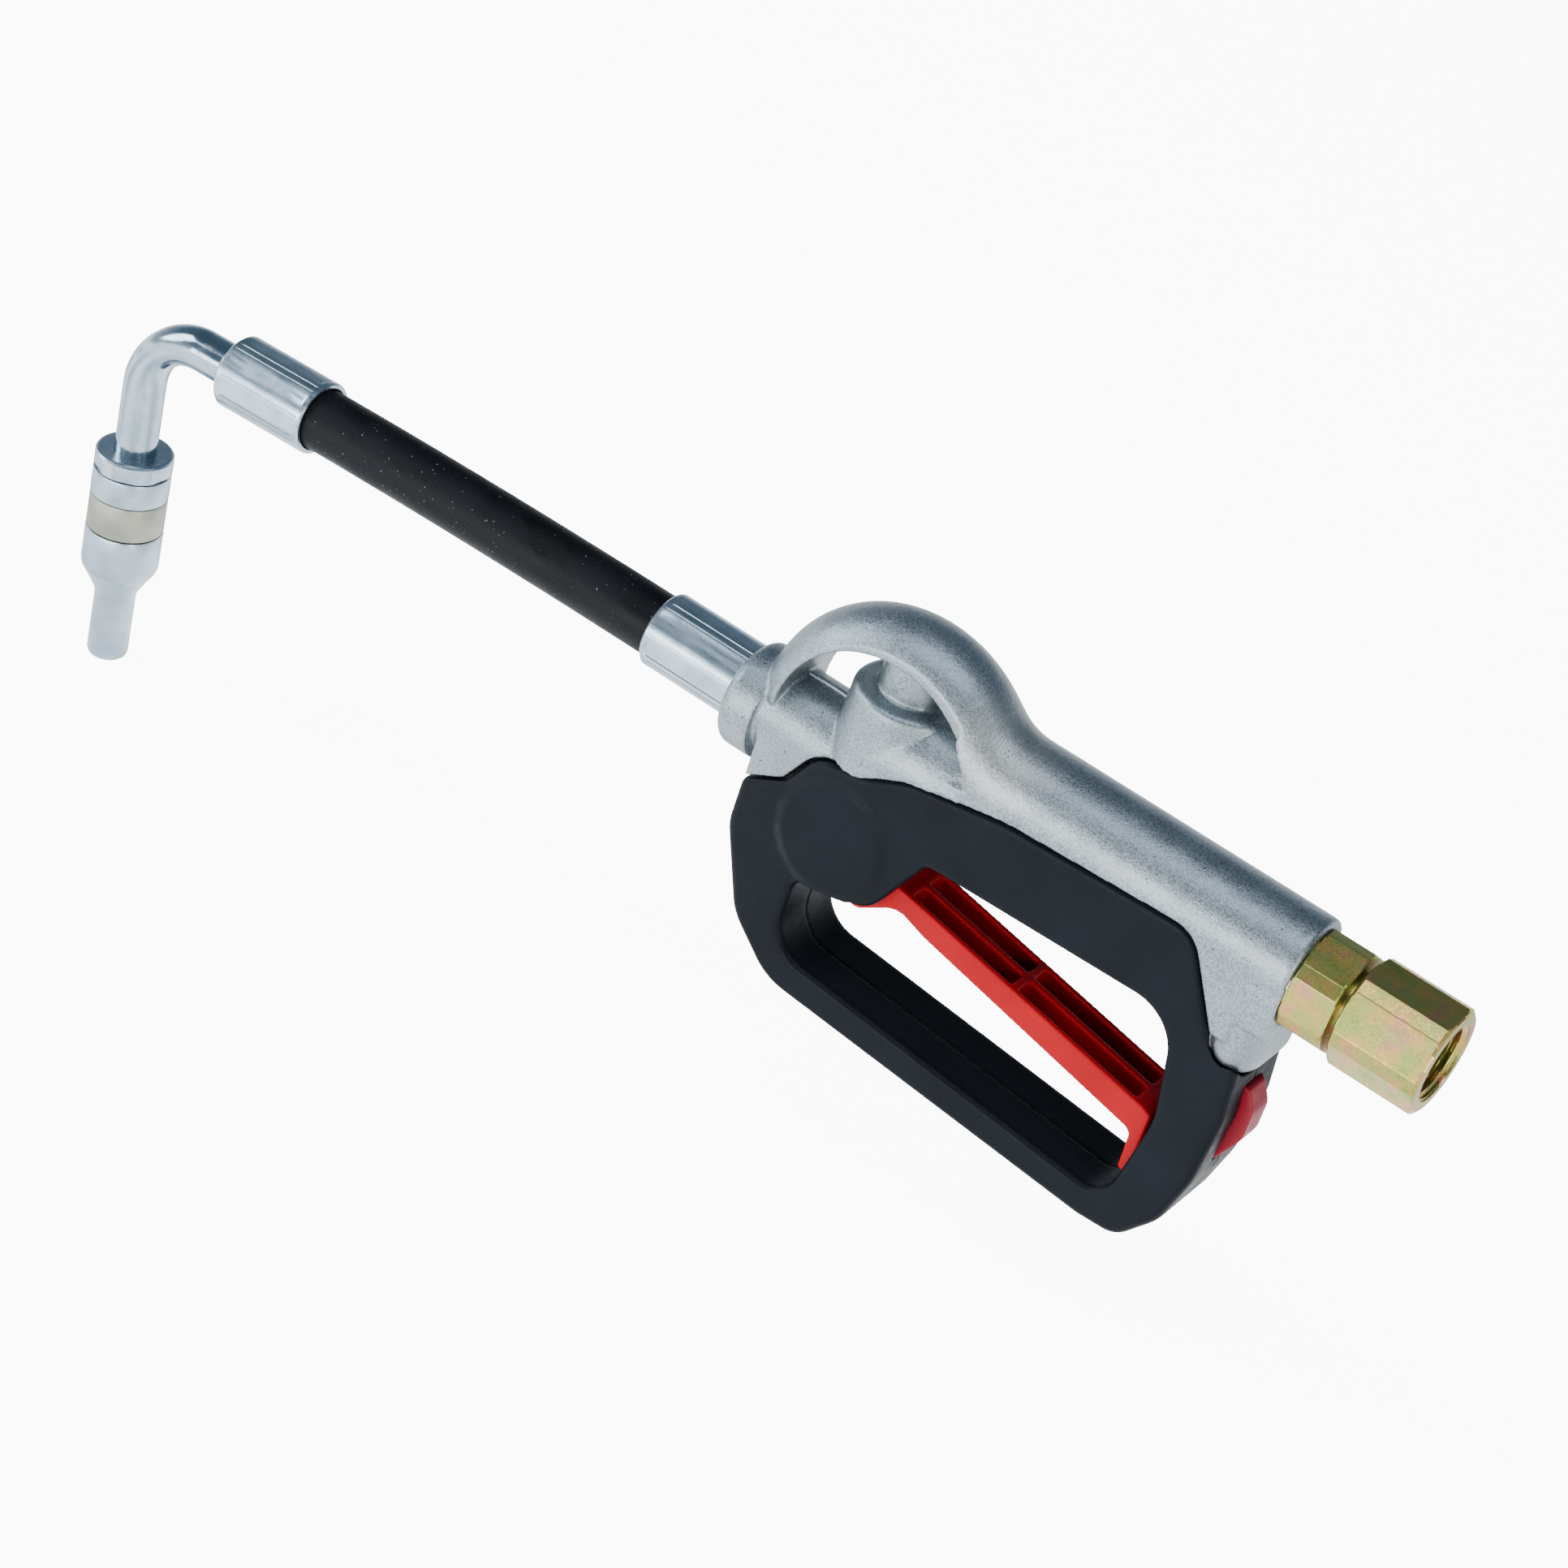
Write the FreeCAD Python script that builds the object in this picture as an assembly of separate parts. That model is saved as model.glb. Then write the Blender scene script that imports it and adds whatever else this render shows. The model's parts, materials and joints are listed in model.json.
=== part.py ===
import FreeCAD, Part
import math
import os

# Oil control gun: a trigger valve in a die-cast handle, with a swivel inlet, a crimped
# hose extension, a bent steel tube and a quarter-turn non-drip tip.
# Frame: origin at the centre of the inlet nut's mouth, +X out of the inlet, +Z up,
# Y across the handle. Lengths in mm, angles in degrees.

# ---- driving dimensions ----
running = 0.06            # radial clearance of turning and sliding fits
gap = 0.3                 # clearance between parts that only lie side by side
parting_gap = 0.8         # shadow gap between the guard and the casting

# inlet
nut_flats = 27.0
nut_corner_flats = nut_flats + 1.9    # across the flattened corners
nut_chamfer = 1.4
nut_length = 24.5
nut_turn = 4.9            # how the nut happens to be turned about the inlet axis
thread_r = 9.32           # minor radius of a G1/2 female thread
thread_length = 12.3
relief_length = 3.3       # behind the thread
swivel_gap = 1.5          # between the nut and the adapter's hexagon
adapter_flats = 26.0
adapter_corner_flats = adapter_flats + 1.8
adapter_chamfer = 0.9
adapter_neck_r = 9.4
adapter_hex_length = 12.5
adapter_turn = 24.4
adapter_thread_r = 10.4
adapter_thread_length = 13.0
adapter_bore_r = 5.5
nose_r = 8.0
nose_length = 11.0
nose_chamfer = 2.4
snap_groove_x = (-21.15, -19.65)
swivel_seal_x = (-18.9, -17.3)
groove_room = 0.1         # a ring's groove is this much wider than the ring at each end
washer_thick = 1.2
strainer_length = 16.0
strainer_wall = 0.8

# casting
barrel_r = 13.8           # half width of the handle, and the crown's radius
barrel_rise = 2.2         # the crown's axis above the inlet axis
barrel_rim_round = 1.4
strap_half_width = barrel_r - 1.7
strap_side_end = -139.0   # the strap's flat sides run out here
crown_r = 24.8            # centreline of the front arch
crown_centre = (-159.3, -8.7)
window_r = crown_r + 4.6  # underside of the strap
window_centre = (-160.5, -9.0)
window_low = -22.0
window_rear_angle = 46.0  # the window's rear corner, from the top of its round
window_rear_foot = (-127.5, -4.5)
crest_slope = 38.0        # rise of the barrel into the crest
crest_blend_r = crown_r * 1.048
boss_x = -160.0           # axis of the valve
boss_r = 15.4
boss_top = 9.5
boss_shoulder = 2.2
boss_taper = 0.3          # how far the boss's side leans in above and out below
boss_low = -12.0
column_r = 9.3
core_r = 15.5             # the body behind the boss, where it starts
core_end_r = 13.3         # where it runs out in the barrel's flank
core_end = -112.0
core_z = -5.0
neck_r = 12.6
outlet_z = -15.3          # axis of the outlet below the inlet axis
collar_r = 14.7
collar_drop = 1.4         # the collar's axis below the outlet's
collar_front = -203.8
collar_back = -193.5
collar_round = 3.2
neck_side_front = -191.3  # the neck's straight sides start here
neck_side_depth = 18.0
flank_inset = 0.12        # the barrel's flat sides inside its crown's width
flank_end = -47.5         # the sides stop here, above the lug
flank_step = -13.4
web_half_width = 9.7      # the casting's tongue between the two guard halves
web_bottom = -17.0
web_end = -56.0
passage_r = 6.0
outlet_passage_r = 4.5
lug_r = 7.6
lug_bottom = -22.4        # centre of the lug's round end
lug_top = -4.0
outlet_port_depth = 17.5
outlet_thread_r = 8.3

# valve
chamber_r = 7.0
valve_bore_r = 8.05
seat_z = -7.0
seat_thick = 3.0
seat_hole_r = 3.6
stem_r = 2.5
stem_bottom = -31.0
poppet_r = 5.6
poppet_seal_thick = 1.2
poppet_thick = 3.0
guide_r = 2.6
guide_length = 4.4
chamber_top = 9.0
seat_groove_depth = 0.85
spring_top = 8.9
gland_z = (-26.1, -19.8)
gland_head_flats = 16.5
gland_head_thick = 1.9
stem_seal_top = -18.2

# guard
guard_half_width = 12.9
guard_wall = 2.4
guard_round = 2.0
bulge_r = 17.0
bulge_rise = 0.9
bulge_centre = (-162.6, -33.5)
guard_pin_end = guard_half_width - 1.5        # half length of the pins and screws between the cheeks
guard_boss_end = guard_half_width - 1.9
screw_r = 1.5
screw_head_r = 3.2
screw_head_y = (guard_half_width - 3.2, guard_half_width - 1.0)
screw_boss_r = 3.9
stop_wall_x = (-52.8, -51.2)                  # the wall that the lock button's spring stands on

# trigger
pivot = (-170.0, -36.0)
pivot_pin_r = 3.0
pivot_eye_r = 6.0
trigger_half_width = 8.8
trigger_side_wall = 1.8
trigger_rib = 2.2
trigger_slot = trigger_half_width + 0.6       # half width of the slots that the trigger moves in
pocket_start = -138.6
pocket_end = -64.6
pocket_floor = -42.9      # at the pockets' front end
pocket_slope = 0.2105
cross_rib_x = -104.6
cross_rib_half = 1.2
roller_r = 4.0
roller_gap = 0.3
roller_half_width = 4.0
roller_pin_half = 7.1

# lock button
button_half_width = 4.2
button_top = -34.0
button_bottom = -57.6
button_face_x = -44.3     # the cap stands out from here
button_back_x = -47.0

# hose extension
hose_r = 8.7
braid_r = hose_r - 1.8
liner_r = hose_r - 2.7
hose_bore_r = hose_r - 3.88
ferrule_r = hose_r + 1.8
ferrule_length = 30.5
ferrule_end_wall = 1.9
ferrule_flat = ferrule_r - 0.22               # crimp jaw flats, from the axis
ferrule_rim = 1.5         # left round at each end of the crimp
nipple_bore_r = 3.2
rear_ferrule_x = -232.1   # rim of the rear ferrule, where the hose comes out
hose_corner_x = -294.0    # the hose's two straight ends would meet here
hose_droop = 2.6          # how far the hose bends down over its length
front_ferrule_at = 56.0   # rim of the front ferrule, along the hose from its corner

# elbow and tip
elbow_r = 6.0
elbow_bore_r = 4.6
elbow_corner_at = 117.7   # along the hose's front end from its corner
elbow_bend_r = 19.0
spout_lean = 3.9          # the spout leans back towards the handle
tip_at = 40.2             # along the spout's axis from the elbow's corner
tip_r = 11.05
tip_hex_flats = 2 * tip_r - 1.5
tip_hex_start = 1.6
collar_length = 5.6
ring_end = 13.6
band_end = 24.2
shoulder_start = 36.0
neck_start = 46.0
tip_length = 66.8
spout_r = 5.9
spout_bore_r = 4.2
core_tip_r = tip_r - 2.55
core_tip_length = 30.0
tip_socket_depth = 8.05
tip_seal_z = (26.4, 28.0)

V = FreeCAD.Vector


# ---- solids in plain places ----
def along_x(radius, x_low, x_high, z=0.0, y=0.0):
    return Part.makeCylinder(radius, x_high - x_low, V(x_low, y, z), V(1, 0, 0))


def along_y(radius, y_low, y_high, x, z):
    return Part.makeCylinder(radius, y_high - y_low, V(x, y_low, z), V(0, 1, 0))


def upright(radius, z_low, z_high, x, y=0.0):
    return Part.makeCylinder(radius, z_high - z_low, V(x, y, z_low), V(0, 0, 1))


def ring_x(outer, inner, x_low, x_high, z=0.0):
    return along_x(outer, x_low, x_high, z).cut(along_x(inner, x_low - 1, x_high + 1, z))


def block(x_low, x_high, y_low, y_high, z_low, z_high):
    return Part.makeBox(x_high - x_low, y_high - y_low, z_high - z_low, V(x_low, y_low, z_low))


def both_sides(shape):
    return shape.fuse(shape.mirror(V(0, 0, 0), V(0, 1, 0)))


def fused(shapes):
    whole = shapes[0].fuse(shapes[1:])
    return whole.removeSplitter()


def lathe(profile):
    """A solid turned about +Z from (radius, z) points."""
    points = [V(r, 0, z) for r, z in profile]
    face = Part.Face(Part.makePolygon(points + points[:1]))
    return face.revolve(V(0, 0, 0), V(0, 0, 1), 360)


def placed(shape, origin, direction, turn=0.0):
    """Puts a shape made about +Z on an axis through origin."""
    moved = shape.copy()
    moved.rotate(V(0, 0, 0), V(0, 0, 1), turn)
    turned = FreeCAD.Placement(origin, FreeCAD.Rotation(V(0, 0, 1), direction))
    moved.Placement = turned.multiply(moved.Placement)
    return moved


def prism(flats, length, sides=6):
    """A regular prism about +Z, with a flat facing +X."""
    corner_r = flats / 2 / math.cos(math.pi / sides)
    angles = [(2 * i + 1) * math.pi / sides for i in range(sides)]
    points = [V(corner_r * math.cos(a), corner_r * math.sin(a), 0) for a in angles]
    return Part.Face(Part.makePolygon(points + points[:1])).extrude(V(0, 0, length))


def blunt_hexagon(flats, corner_flats, length, chamfer):
    """A hexagon bar with flattened corners and both ends chamfered."""
    corners = prism(corner_flats, length)
    corners.rotate(V(0, 0, 0), V(0, 0, 1), 30)
    tip_corner = corner_flats / 2 / math.cos(math.radians(8))
    ends = lathe([
        (0, 0), (tip_corner - chamfer, 0), (tip_corner, chamfer * 0.6),
        (tip_corner, length - chamfer * 0.6), (tip_corner - chamfer, length), (0, length),
    ])
    return prism(flats, length).common(corners).common(ends)


# ---- outlines in the XZ plane, as corners (x, z, corner radius) ----
def outline(corners):
    """A closed wire of straight runs joined by tangent arcs."""
    count = len(corners)
    starts, ends, edges = [], [], []
    for i, (x, z, radius) in enumerate(corners):
        here = V(x, 0, z)
        before = V(corners[i - 1][0], 0, corners[i - 1][1]).sub(here)
        after = V(corners[(i + 1) % count][0], 0, corners[(i + 1) % count][1]).sub(here)
        opening = before.getAngle(after)
        reach = radius / math.tan(opening / 2)
        before.normalize()
        after.normalize()
        first = here.add(V(before).multiply(reach))
        last = here.add(V(after).multiply(reach))
        starts.append(first)
        ends.append(last)
        if radius > 0:
            middle_way = V(before).add(after).normalize()
            depth = radius / math.sin(opening / 2) - radius
            edges.append(Part.Arc(first, here.add(middle_way.multiply(depth)), last).toShape())
    runs = []
    for i in range(count):
        if ends[i].distanceToPoint(starts[(i + 1) % count]) > 1e-6:
            runs.append(Part.LineSegment(ends[i], starts[(i + 1) % count]).toShape())
    return Part.Wire(Part.__sortEdges__(edges + runs))


def inset(corners, distance):
    """The same outline, moved inwards by a distance, or outwards if it is negative."""
    count = len(corners)
    area = sum(
        corners[i][0] * corners[(i + 1) % count][1] - corners[(i + 1) % count][0] * corners[i][1]
        for i in range(count)
    )
    side = 1 if area > 0 else -1
    moved = []
    for i, (x, z, radius) in enumerate(corners):
        before = V(x - corners[i - 1][0], 0, z - corners[i - 1][1]).normalize()
        after = V(corners[(i + 1) % count][0] - x, 0, corners[(i + 1) % count][1] - z).normalize()
        inward_before = V(-before.z * side, 0, before.x * side)
        inward_after = V(-after.z * side, 0, after.x * side)
        middle_way = inward_before.add(inward_after)
        scale = 2 * distance / middle_way.dot(middle_way)
        turns_in = (before.x * after.z - before.z * after.x) * side < 0
        new_radius = radius + distance if turns_in else radius - distance
        moved.append((x + middle_way.x * scale, z + middle_way.z * scale, max(new_radius, 0.4)))
    return moved


def slab(corners, y_low, y_high):
    face = Part.Face(outline(corners))
    face.translate(V(0, y_low, 0))
    return face.extrude(V(0, y_high - y_low, 0))


# ---- routes in the XZ plane ----
def bent_route(start, corner, end, radius):
    """A straight run, a tangent arc and a straight run."""
    before = start.sub(corner)
    after = end.sub(corner)
    opening = before.getAngle(after)
    reach = radius / math.tan(opening / 2)
    before.normalize()
    after.normalize()
    first = corner.add(V(before).multiply(reach))
    last = corner.add(V(after).multiply(reach))
    middle_way = V(before).add(after).normalize()
    middle = corner.add(middle_way.multiply(radius / math.sin(opening / 2) - radius))
    return Part.Wire([
        Part.LineSegment(start, first).toShape(),
        Part.Arc(first, middle, last).toShape(),
        Part.LineSegment(last, end).toShape(),
    ])


def pipe(route, radius):
    first = route.Edges[0]
    circle = Part.Circle(first.valueAt(first.FirstParameter), first.tangentAt(first.FirstParameter), radius)
    return route.makePipeShell([Part.Wire(circle.toShape())], True, True)


def tube(route, outer, inner):
    return pipe(route, outer).cut(pipe(route, inner))


# ---- places that several parts share ----
adapter_x = -nut_length - swivel_gap - adapter_hex_length   # the casting's rear face
nose_x = -nut_length + nose_length                          # front of the adapter's nose
boss = V(boss_x, 0, 0)
droop = math.radians(hose_droop)
hose_front = V(-math.cos(droop), 0, -math.sin(droop))
hose_corner = V(hose_corner_x, 0, outlet_z)
lean = math.radians(spout_lean)
spout_way = V(math.sin(lean), 0, -math.cos(lean))
elbow_corner = hose_corner.add(V(hose_front).multiply(elbow_corner_at))
tip_top = elbow_corner.add(V(spout_way).multiply(tip_at))
rear_fitting_x = rear_ferrule_x + ferrule_length            # back of the rear ferrule

guard_outline = [
    (-191.8, -32.4, 3), (-180.2, -26.2, 5), (-173.5, -14.5, 9), (-160.0, -12.2, 10),
    (-147.5, -6.0, 14), (-119.0, -0.8, 60), (-65.0, 1.9, 9), (-50.3, -23.6, 6),
    (-41.6, -25.2, 3), (-40.0, -42.0, 20), (-41.6, -62.0, 24), (-45.8, -77.5, 14),
    (-54.5, -88.9, 8), (-66.0, -89.6, 6), (-168.0, -82.5, 18), (-182.6, -70.0, 16),
    (-192.0, -46.5, 14),
]
opening_outline = [
    (-168.9, -50.8, 4), (-169.2, -72.4, 11), (-61.3, -80.9, 8), (-56.6, -52.0, 26),
    (-62.0, -22.4, 13), (-135.8, -24.9, 3.5), (-147.0, -46.3, 9),
]


# ---- casting ----
def barrel_and_arch():
    """The round-topped barrel, which rises to a crest and arches down to the outlet."""
    cx, cz = crown_centre
    slope = math.radians(crest_slope)
    crest_start = V(cx + crown_r * math.sin(slope), 0, cz + crown_r * math.cos(slope))
    run = (crest_start.z - barrel_rise) / math.sin(slope)
    foot = V(crest_start.x + run * math.cos(slope), 0, barrel_rise)
    lead = bent_route(V(adapter_x, 0, barrel_rise), foot, crest_start, crest_blend_r)
    arch_middle = V(cx - crown_r / 2, 0, cz + crown_r * math.cos(math.radians(30)))
    arch = Part.Arc(crest_start, arch_middle, V(cx - crown_r, 0, cz)).toShape()
    solid = pipe(Part.Wire(lead.Edges + [arch]), barrel_r)
    rear_rim = [e for e in solid.Edges if e.BoundBox.XMin > adapter_x - 0.01]
    solid = solid.makeFillet(barrel_rim_round, rear_rim)
    for side in (-1, 1):
        low, high = sorted((side * strap_half_width, side * 2 * barrel_r))
        solid = solid.cut(block(-230, strap_side_end, low, high, -60, 60))
    return solid


def window():
    """The space under the strap, round the valve boss."""
    ax, az = window_centre
    left_top = V(ax - window_r, 0, az)
    top = V(ax, 0, az + window_r)
    rear_angle = math.radians(window_rear_angle)
    rear = V(ax + window_r * math.sin(rear_angle), 0, az + window_r * math.cos(rear_angle))
    mid_left = V(ax - window_r * math.sin(math.pi / 4), 0, az + window_r * math.cos(math.pi / 4))
    mid_right = V(ax + window_r * math.sin(rear_angle / 2), 0, az + window_r * math.cos(rear_angle / 2))
    foot_x, foot_z = window_rear_foot
    low_rear = V(foot_x, 0, foot_z)
    bottom = V(foot_x, 0, window_low)
    low_left = V(left_top.x, 0, window_low)
    wire = Part.Wire([
        Part.LineSegment(low_left, left_top).toShape(),
        Part.Arc(left_top, mid_left, top).toShape(),
        Part.Arc(top, mid_right, rear).toShape(),
        Part.LineSegment(rear, low_rear).toShape(),
        Part.LineSegment(low_rear, bottom).toShape(),
        Part.LineSegment(bottom, low_left).toShape(),
    ])
    face = Part.Face(wire)
    face.translate(V(0, -30, 0))
    return face.extrude(V(0, 60, 0))


def valve_boss():
    """The tapered boss, its rounded shoulder and the column that carries the strap."""
    top_r = boss_r - boss_taper
    shoulder = boss_shoulder
    cut_in = shoulder * (1 - math.sqrt(0.5))
    side_top = V(top_r, 0, boss_top - shoulder)
    face_rim = V(top_r - shoulder, 0, boss_top)
    arc = Part.Arc(side_top, V(top_r - cut_in, 0, boss_top - cut_in), face_rim).toShape()
    corners = [face_rim, V(0, 0, boss_top), V(0, 0, boss_low), V(boss_r + boss_taper, 0, boss_low), side_top]
    runs = [Part.LineSegment(a, b).toShape() for a, b in zip(corners[:-1], corners[1:])]
    body = Part.Face(Part.Wire([arc] + runs)).revolve(V(0, 0, 0), V(0, 0, 1), 360)
    body.translate(boss)
    column = upright(column_r, 0, window_centre[1] + window_r + 3, boss_x)
    return body.fuse(column)


def outlet_neck():
    """The round-topped neck between the collar and the boss, with straight sides down to the guard."""
    neck = along_x(neck_r, collar_back - 1, boss_x, outlet_z)
    sides = block(neck_side_front, boss_x, -neck_r, neck_r, outlet_z - neck_side_depth, outlet_z)
    return neck.fuse(sides)


def rear_lug(room=0.0):
    """The round-ended lug at the rear corner of the handle, with some room round it."""
    half = guard_half_width - lug_r
    x = adapter_x - lug_r
    radius = lug_r + room
    pieces = [
        block(x - radius, x + radius, -half, half, lug_bottom, lug_top),
        along_y(radius, -half, half, x, lug_bottom),
    ]
    for side in (-1, 1):
        pieces.append(upright(radius, lug_bottom, lug_top, x, side * half))
        pieces.append(Part.makeSphere(radius, V(x, side * half, lug_bottom)))
    return fused(pieces)


def casting_tongue():
    """The inner web that the guard halves clamp, down to the valve's gland."""
    front = boss_x - boss_r - 3
    corners = [
        (front, outlet_z + 3, 2), (front, web_bottom, 3), (web_end, web_bottom, 4),
        (web_end, -2, 2), (boss_x + boss_r, -2, 1), (boss_x + boss_r, outlet_z + 3, 1),
    ]
    web = slab(corners, -web_half_width, web_half_width)
    return web.fuse(upright(web_half_width, -26, -4, boss_x))


def body_casting():
    half = barrel_r - flank_inset
    flank = slab([
        (-128, barrel_rise, 0), (-150, -2, 4), (-150, -16, 3), (flank_end, -20, 0),
        (flank_end, flank_step, 1), (adapter_x, flank_step, 0), (adapter_x, barrel_rise, 0),
    ], -half, half)
    collar = along_x(collar_r, collar_front, collar_back, outlet_z - collar_drop)
    front_edge = [e for e in collar.Edges if abs(e.CenterOfMass.x - collar_front) < 0.01]
    collar = collar.makeFillet(collar_round, front_edge)
    around_guard = inset(guard_outline, -parting_gap)
    core = Part.makeCone(core_r, core_end_r, core_end - boss_x, V(boss_x, 0, core_z), V(1, 0, 0))
    outside = [barrel_and_arch().cut(window()), flank, collar, outlet_neck(), valve_boss(), core]
    below_web = slab(around_guard, -40, 40).common(block(-200, -30, -40, 40, -60, web_bottom))
    solid = fused(outside).cut(below_web).fuse(casting_tongue())
    solid = solid.cut(both_sides(slab(around_guard, web_half_width, 2 * guard_half_width)))
    return solid.fuse(rear_lug()).removeSplitter().cut(casting_bores())


def casting_bores():
    port_end = collar_front + outlet_port_depth
    return fused([
        along_x(adapter_thread_r + 0.05, adapter_x - adapter_thread_length - 1, adapter_x + 1),
        along_x(adapter_flats / 2 - 0.1, adapter_x - washer_thick, adapter_x + 5),
        along_x(passage_r, boss_x, adapter_x - adapter_thread_length),
        upright(chamber_r, seat_z, chamber_top, boss_x),
        upright(valve_bore_r, gland_z[0] - 0.9, seat_z, boss_x),
        along_x(outlet_passage_r, port_end - 1, boss_x, outlet_z),
        along_x(outlet_thread_r + 0.05, collar_front - 1, port_end, outlet_z),
        along_x(ferrule_r + gap, collar_front - 1, rear_fitting_x + 4.2, outlet_z),
        screw_holes(screw_r + 0.4, -20, 20, True),
    ])


# ---- valve ----
def valve_seat():
    low, high = seat_z - 2.1, seat_z - 0.9
    seat = upright(valve_bore_r - 0.05, seat_z - seat_thick, seat_z, boss_x)
    groove = upright(valve_bore_r + 1, low, high, boss_x)
    groove = groove.cut(upright(valve_bore_r - seat_groove_depth, low, high, boss_x))
    hole = upright(seat_hole_r, seat_z - seat_thick - 1, seat_z + 1, boss_x)
    return seat.cut(groove).cut(hole)


def seat_o_ring():
    ring = upright(valve_bore_r - 0.05, seat_z - 2.05, seat_z - 0.95, boss_x)
    return ring.cut(upright(valve_bore_r - seat_groove_depth + 0.05, seat_z - 3, seat_z, boss_x))


def valve_stem():
    head_z = seat_z + poppet_seal_thick
    guide_z = head_z + poppet_thick
    return fused([
        upright(stem_r, stem_bottom, head_z, boss_x),
        upright(poppet_r, head_z, guide_z, boss_x),
        upright(guide_r, guide_z, guide_z + guide_length, boss_x),
    ])


def valve_poppet_seal():
    ring = upright(poppet_r - 0.2, seat_z, seat_z + poppet_seal_thick, boss_x)
    return ring.cut(upright(stem_r + 0.02, seat_z - 1, seat_z + 2, boss_x))


def coil(radius, wire_r, length, turns):
    """A helical spring about +Z with its ends inside 0 and length."""
    pitch = (length - 2 * wire_r) / turns
    helix = Part.makeLongHelix(pitch, length - 2 * wire_r, radius)
    section = Part.Wire(Part.Circle(V(radius, 0, 0), V(0, 1, 0), wire_r).toShape())
    spring = helix.makePipeShell([section], True, True)
    spring.translate(V(0, 0, wire_r))
    return spring


def valve_spring():
    bottom = seat_z + poppet_seal_thick + poppet_thick + 0.05
    return placed(coil(4.4, 0.55, spring_top - bottom, 5), V(boss_x, 0, bottom), V(0, 0, 1))


def gland_nut():
    low, high = gland_z
    thread = upright(valve_bore_r - 0.05, low, high, boss_x)
    head = placed(prism(gland_head_flats, gland_head_thick), V(boss_x, 0, low - 1.8), V(0, 0, 1))
    return thread.fuse(head).cut(upright(stem_r + running, low - 4, high + 1, boss_x))


def stem_seal():
    ring = upright(valve_bore_r - 0.1, gland_z[1] + 0.05, stem_seal_top, boss_x)
    return ring.cut(upright(stem_r + 0.02, gland_z[1] - 1, stem_seal_top + 1, boss_x))


# ---- inlet ----
def inlet_adapter():
    bar = blunt_hexagon(adapter_flats, adapter_corner_flats, adapter_hex_length, adapter_chamfer)
    hexagon = placed(bar, V(adapter_x, 0, 0), V(1, 0, 0), adapter_turn)
    thread = along_x(adapter_thread_r, adapter_x - adapter_thread_length, adapter_x)
    neck = along_x(adapter_neck_r, adapter_x + adapter_hex_length, -nut_length - gap)
    nose = placed(lathe([
        (0, 0), (nose_r, 0), (nose_r, nose_length - nose_chamfer), (nose_r - 1.4, nose_length),
        (0, nose_length),
    ]), V(-nut_length - gap, 0, 0), V(1, 0, 0))
    solid = fused([hexagon, thread, neck, nose])
    snap_groove = ring_x(nose_r + 1, nose_r - 0.9, *snap_groove_x)
    seal_groove = ring_x(nose_r + 1, nose_r - 1.1, *swivel_seal_x)
    return solid.cut(snap_groove).cut(seal_groove).cut(along_x(adapter_bore_r, -80, 0))


def swivel_nut():
    bar = blunt_hexagon(nut_flats, nut_corner_flats, nut_length, nut_chamfer)
    nut = placed(bar, V(-nut_length, 0, 0), V(1, 0, 0), nut_turn)
    thread = along_x(thread_r, -thread_length - 0.2, 1)
    relief = along_x(thread_r + 0.6, -thread_length - relief_length, -thread_length)
    swivel = along_x(nose_r + running, -nut_length - 1, -thread_length - relief_length + 0.1)
    snap_groove = along_x(nose_r + 1.0, *snap_groove_x)
    return nut.cut(fused([thread, relief, swivel, snap_groove]))


def swivel_snap_ring():
    low, high = snap_groove_x
    ring = ring_x(nose_r + 0.94, nose_r - 0.84, low + groove_room, high - groove_room)
    return ring.cut(block(low - 1, high + 1, -1.2, 1.2, 0, 12))


def swivel_o_ring():
    low, high = swivel_seal_x
    return ring_x(nose_r + 0.01, nose_r - 1.05, low + groove_room / 2, high - groove_room / 2)


def adapter_seal_washer():
    outer = adapter_flats / 2 - 0.2
    return ring_x(outer, adapter_thread_r + 0.06, adapter_x - washer_thick + 0.05, adapter_x - 0.02)


def inlet_strainer():
    """A fine-mesh thimble with a flange that sits on the adapter's nose."""
    seat_x = nose_x - gap
    outer = adapter_bore_r - 0.1
    inner = outer - strainer_wall
    flange = ring_x(outer + 1.0, inner, seat_x + 0.02, seat_x + 0.6)
    basket = ring_x(outer, inner, seat_x - strainer_length, seat_x + 0.3)
    end = along_x(outer, seat_x - strainer_length - 0.6, seat_x - strainer_length)
    return fused([flange, basket, end])


# ---- guard ----
screw_places = [
    (-84.0, -12.6), (-138.0, -13.6), (-120.0, -80.4), (-181.0, -47.0), (-164.0, -77.2), (-54.5, -84.2),
]


def screw_holes(radius, y_low, y_high, casting_only=False):
    places = screw_places[:2] if casting_only else screw_places
    return fused([along_y(radius, y_low, y_high, x, z) for x, z in places])


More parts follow.
